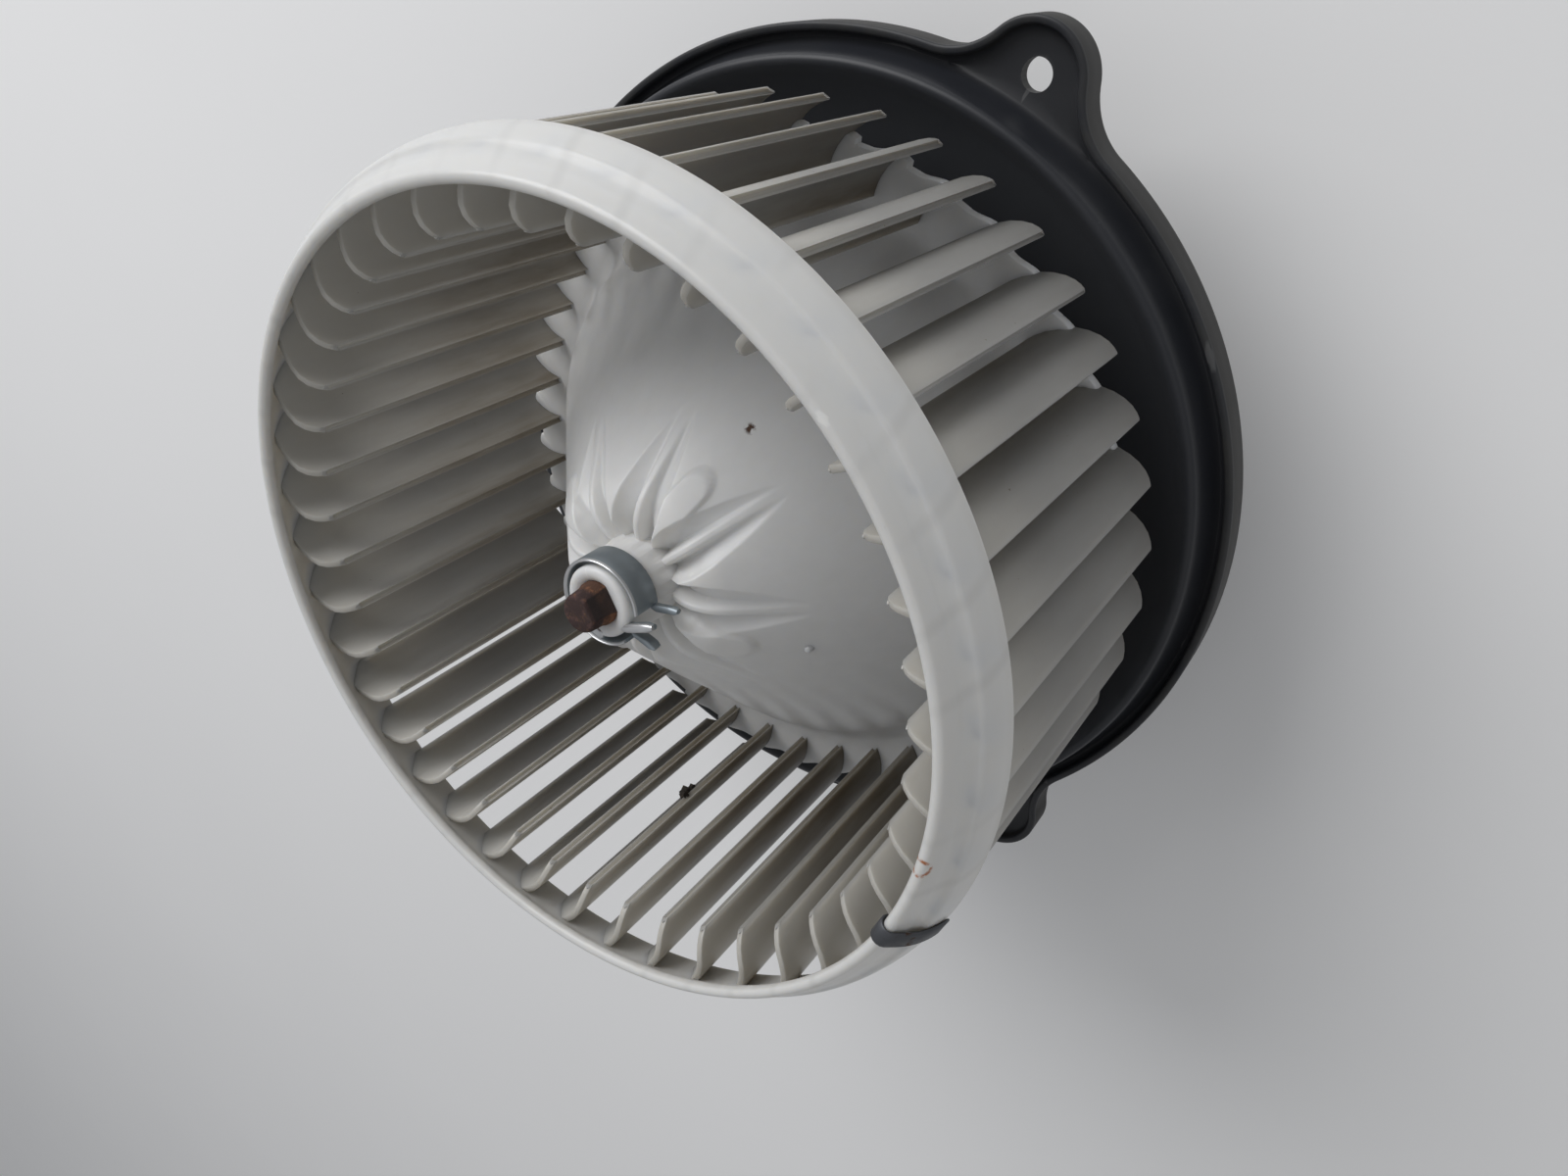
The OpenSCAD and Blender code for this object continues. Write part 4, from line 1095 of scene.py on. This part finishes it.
for node, name, material, slot, width in (
        ("motor_cover", "motor_cover_moulding", COVER, "cover_plastic", 0.4),
        ("cover_screws", "cover_screw_set", SCREWS, "zinc_steel", 0.15),
        ("front_rubber_mount", "front_rubber_ring", RUBBER, "rubber_mount", 0.3),
        ("rear_rubber_mount", "rear_rubber_ring", RUBBER, "rubber_mount", 0.3),
        ("motor_can", "motor_can_drawn", CAN, "zinc_steel", 0.3),
        ("can_end_plate", "can_end_plate_pressed", CAN, "zinc_steel", 0.3),
        ("field_magnets", "field_magnet_pair", FERRITE, "ferrite", 0.4),
        ("magnet_clips", "magnet_clip_springs", SPRING, "zinc_steel", 0.1),
        ("front_bearing", "front_bearing_bush", BRONZE, "bronze", 0.2),
        ("rear_bearing", "rear_bearing_bush", BRONZE, "bronze", 0.2),
        ("bearing_retainers", "bearing_retainer_rings", RETAINER, "zinc_steel", 0.1),
        ("oil_felts", "oil_felt_rings", FELT, "felt", 0.3),
        ("brush_card", "brush_card_plate", PHENOLIC, "phenolic", 0.2),
        ("brush_holders", "brush_holder_boxes", BRASS, "brass_sheet", 0.12),
        ("choke_coils", "choke_coil_pair", winding_paint(), "enamelled_wire", 0.2),
        ("lead_wires", "lead_wire_pair", LEAD, "lead_insulation", 0.0),
        ("terminal_pins", "terminal_pin_pair", TIN, "tinned_brass", 0.12)):
    soften(node, name, material, "housing", width)
for node, name, material, slot, width in (
        ("armature_core", "armature_core_stack", lamination_paint(), "core_steel", 0.1),
        ("core_insulators", "core_insulator_pair", CARD, "insulator", 0.1),
        ("armature_windings", "armature_winding_turns", winding_paint(), "enamelled_wire", 0.3),
        ("commutator_hub", "commutator_hub_moulding", HUB_MOULDING, "phenolic", 0.15),
        ("commutator_bars", "commutator_bar_set", COPPER, "copper", 0.08),
        ("thrust_washers", "thrust_washer_pair", NYLON, "nylon", 0.1)):
    soften(node, name, material, "rotor", width)
soften("brush_a", "carbon_brush_a", CARBON, "first_brush", 0.25)
soften("brush_b", "carbon_brush_b", CARBON, "second_brush", 0.25)


# ---- brush springs ----

def brush_coil(node, name, side):
    """A coil spring in its node's place along X."""
    low, high = box_mm(node)
    ends = sorted((low[0], high[0]), key=abs)
    wire, coil, turns, steps = 0.3, 2.0, 4, 24
    round_wire = 2 * math.pi * np.arange(10) / 10
    start, end = ends[0] + side * wire, ends[1] - side * wire
    middle = (low + high) / 2
    rings = []
    for i in range(turns * steps + 1):
        a, t = 2 * math.pi * i / steps, i / (turns * steps)
        r = coil + wire * np.cos(round_wire)
        x = start + (end - start) * t + side * wire * np.sin(round_wire)
        rings.append(np.column_stack([x, middle[1] + r * math.cos(a), middle[2] + r * math.sin(a)]))
    shape = Shape()
    shape.rings(rings, caps=True)
    obj = shape.make(name, [SPRING], 60, "housing")
    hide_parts(node)
    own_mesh(obj)


brush_coil("brush_spring_a", "brush_coil_spring_a", 1)
brush_coil("brush_spring_b", "brush_coil_spring_b", -1)


# ---- floor, light and camera ----

TARGET = Vector((0, 0, 0.04))
FLOOR_Z = CAD_BOX[0].z - 0.05 * MM
FLOOR_REACH = 9.0
LENS = 25.93
VIEW_FROM = (0.1385, -0.0611, 0.19185)
VIEW_RIGHT, VIEW_UP = (0.374, -0.744, -0.554), (0.653, 0.636, -0.412)
VIEW_BACK = (0.658, -0.207, 0.724)


def floor_paint():
    """Nearly white, faintly uneven."""
    p = Paint("pale_floor", (0.88, 0.88, 0.875), 0.55)
    p.coat((0.82, 0.82, 0.815), p.times(p.noise(160, 3), 0.5))
    p.relief(p.noise(1.2, 3), 0.01)
    return p.done()


def soft_light(name, direction, distance, size, power, colour):
    """A round area light that faces the target."""
    data = bpy.data.lights.new(name, "AREA")
    data.shape = "DISK"
    data.size = size
    data.energy = power
    data.color = colour
    obj = add_object(name, data)
    obj.location = TARGET + Vector(direction).normalized() * distance
    obj.rotation_mode = "QUATERNION"
    obj.rotation_quaternion = (TARGET - obj.location).to_track_quat("-Z", "Y")


floor_mesh = bpy.data.meshes.new("studio_floor")
floor_mesh.from_pydata([(x * FLOOR_REACH, y * FLOOR_REACH, FLOOR_Z)
                        for x, y in ((-1, -1), (1, -1), (1, 1), (-1, 1))], [], [(0, 1, 2, 3)])
floor_mesh.materials.append(floor_paint())
floor_obj = add_object("studio_floor", floor_mesh)

soft_light("key", direction=(0.46, 0.73, 0.51), distance=1.5, size=1.3, power=18.5,
           colour=(0.99, 0.99, 1.0))
soft_light("fill", direction=(0.2, -0.7, 0.75), distance=1.8, size=1.6, power=1.5,
           colour=(1.0, 0.97, 0.93))
world = bpy.data.worlds.new("studio_air")
world.use_nodes = True
air = world.node_tree.nodes["Background"]
air.inputs["Color"].default_value = (0.95, 0.965, 1.0, 1)
air.inputs["Strength"].default_value = 0.36
bpy.context.scene.world = world
bpy.context.scene.view_settings.view_transform = "Standard"

camera = bpy.data.cameras.new("camera")
camera.lens = LENS
camera.clip_start = 0.005
camera.clip_end = 40
camera_obj = add_object("camera", camera)
camera_obj.matrix_world = Matrix((*zip(VIEW_RIGHT, VIEW_UP, VIEW_BACK, VIEW_FROM), (0, 0, 0, 1)))
bpy.context.scene.camera = camera_obj

bpy.context.view_layer.update()
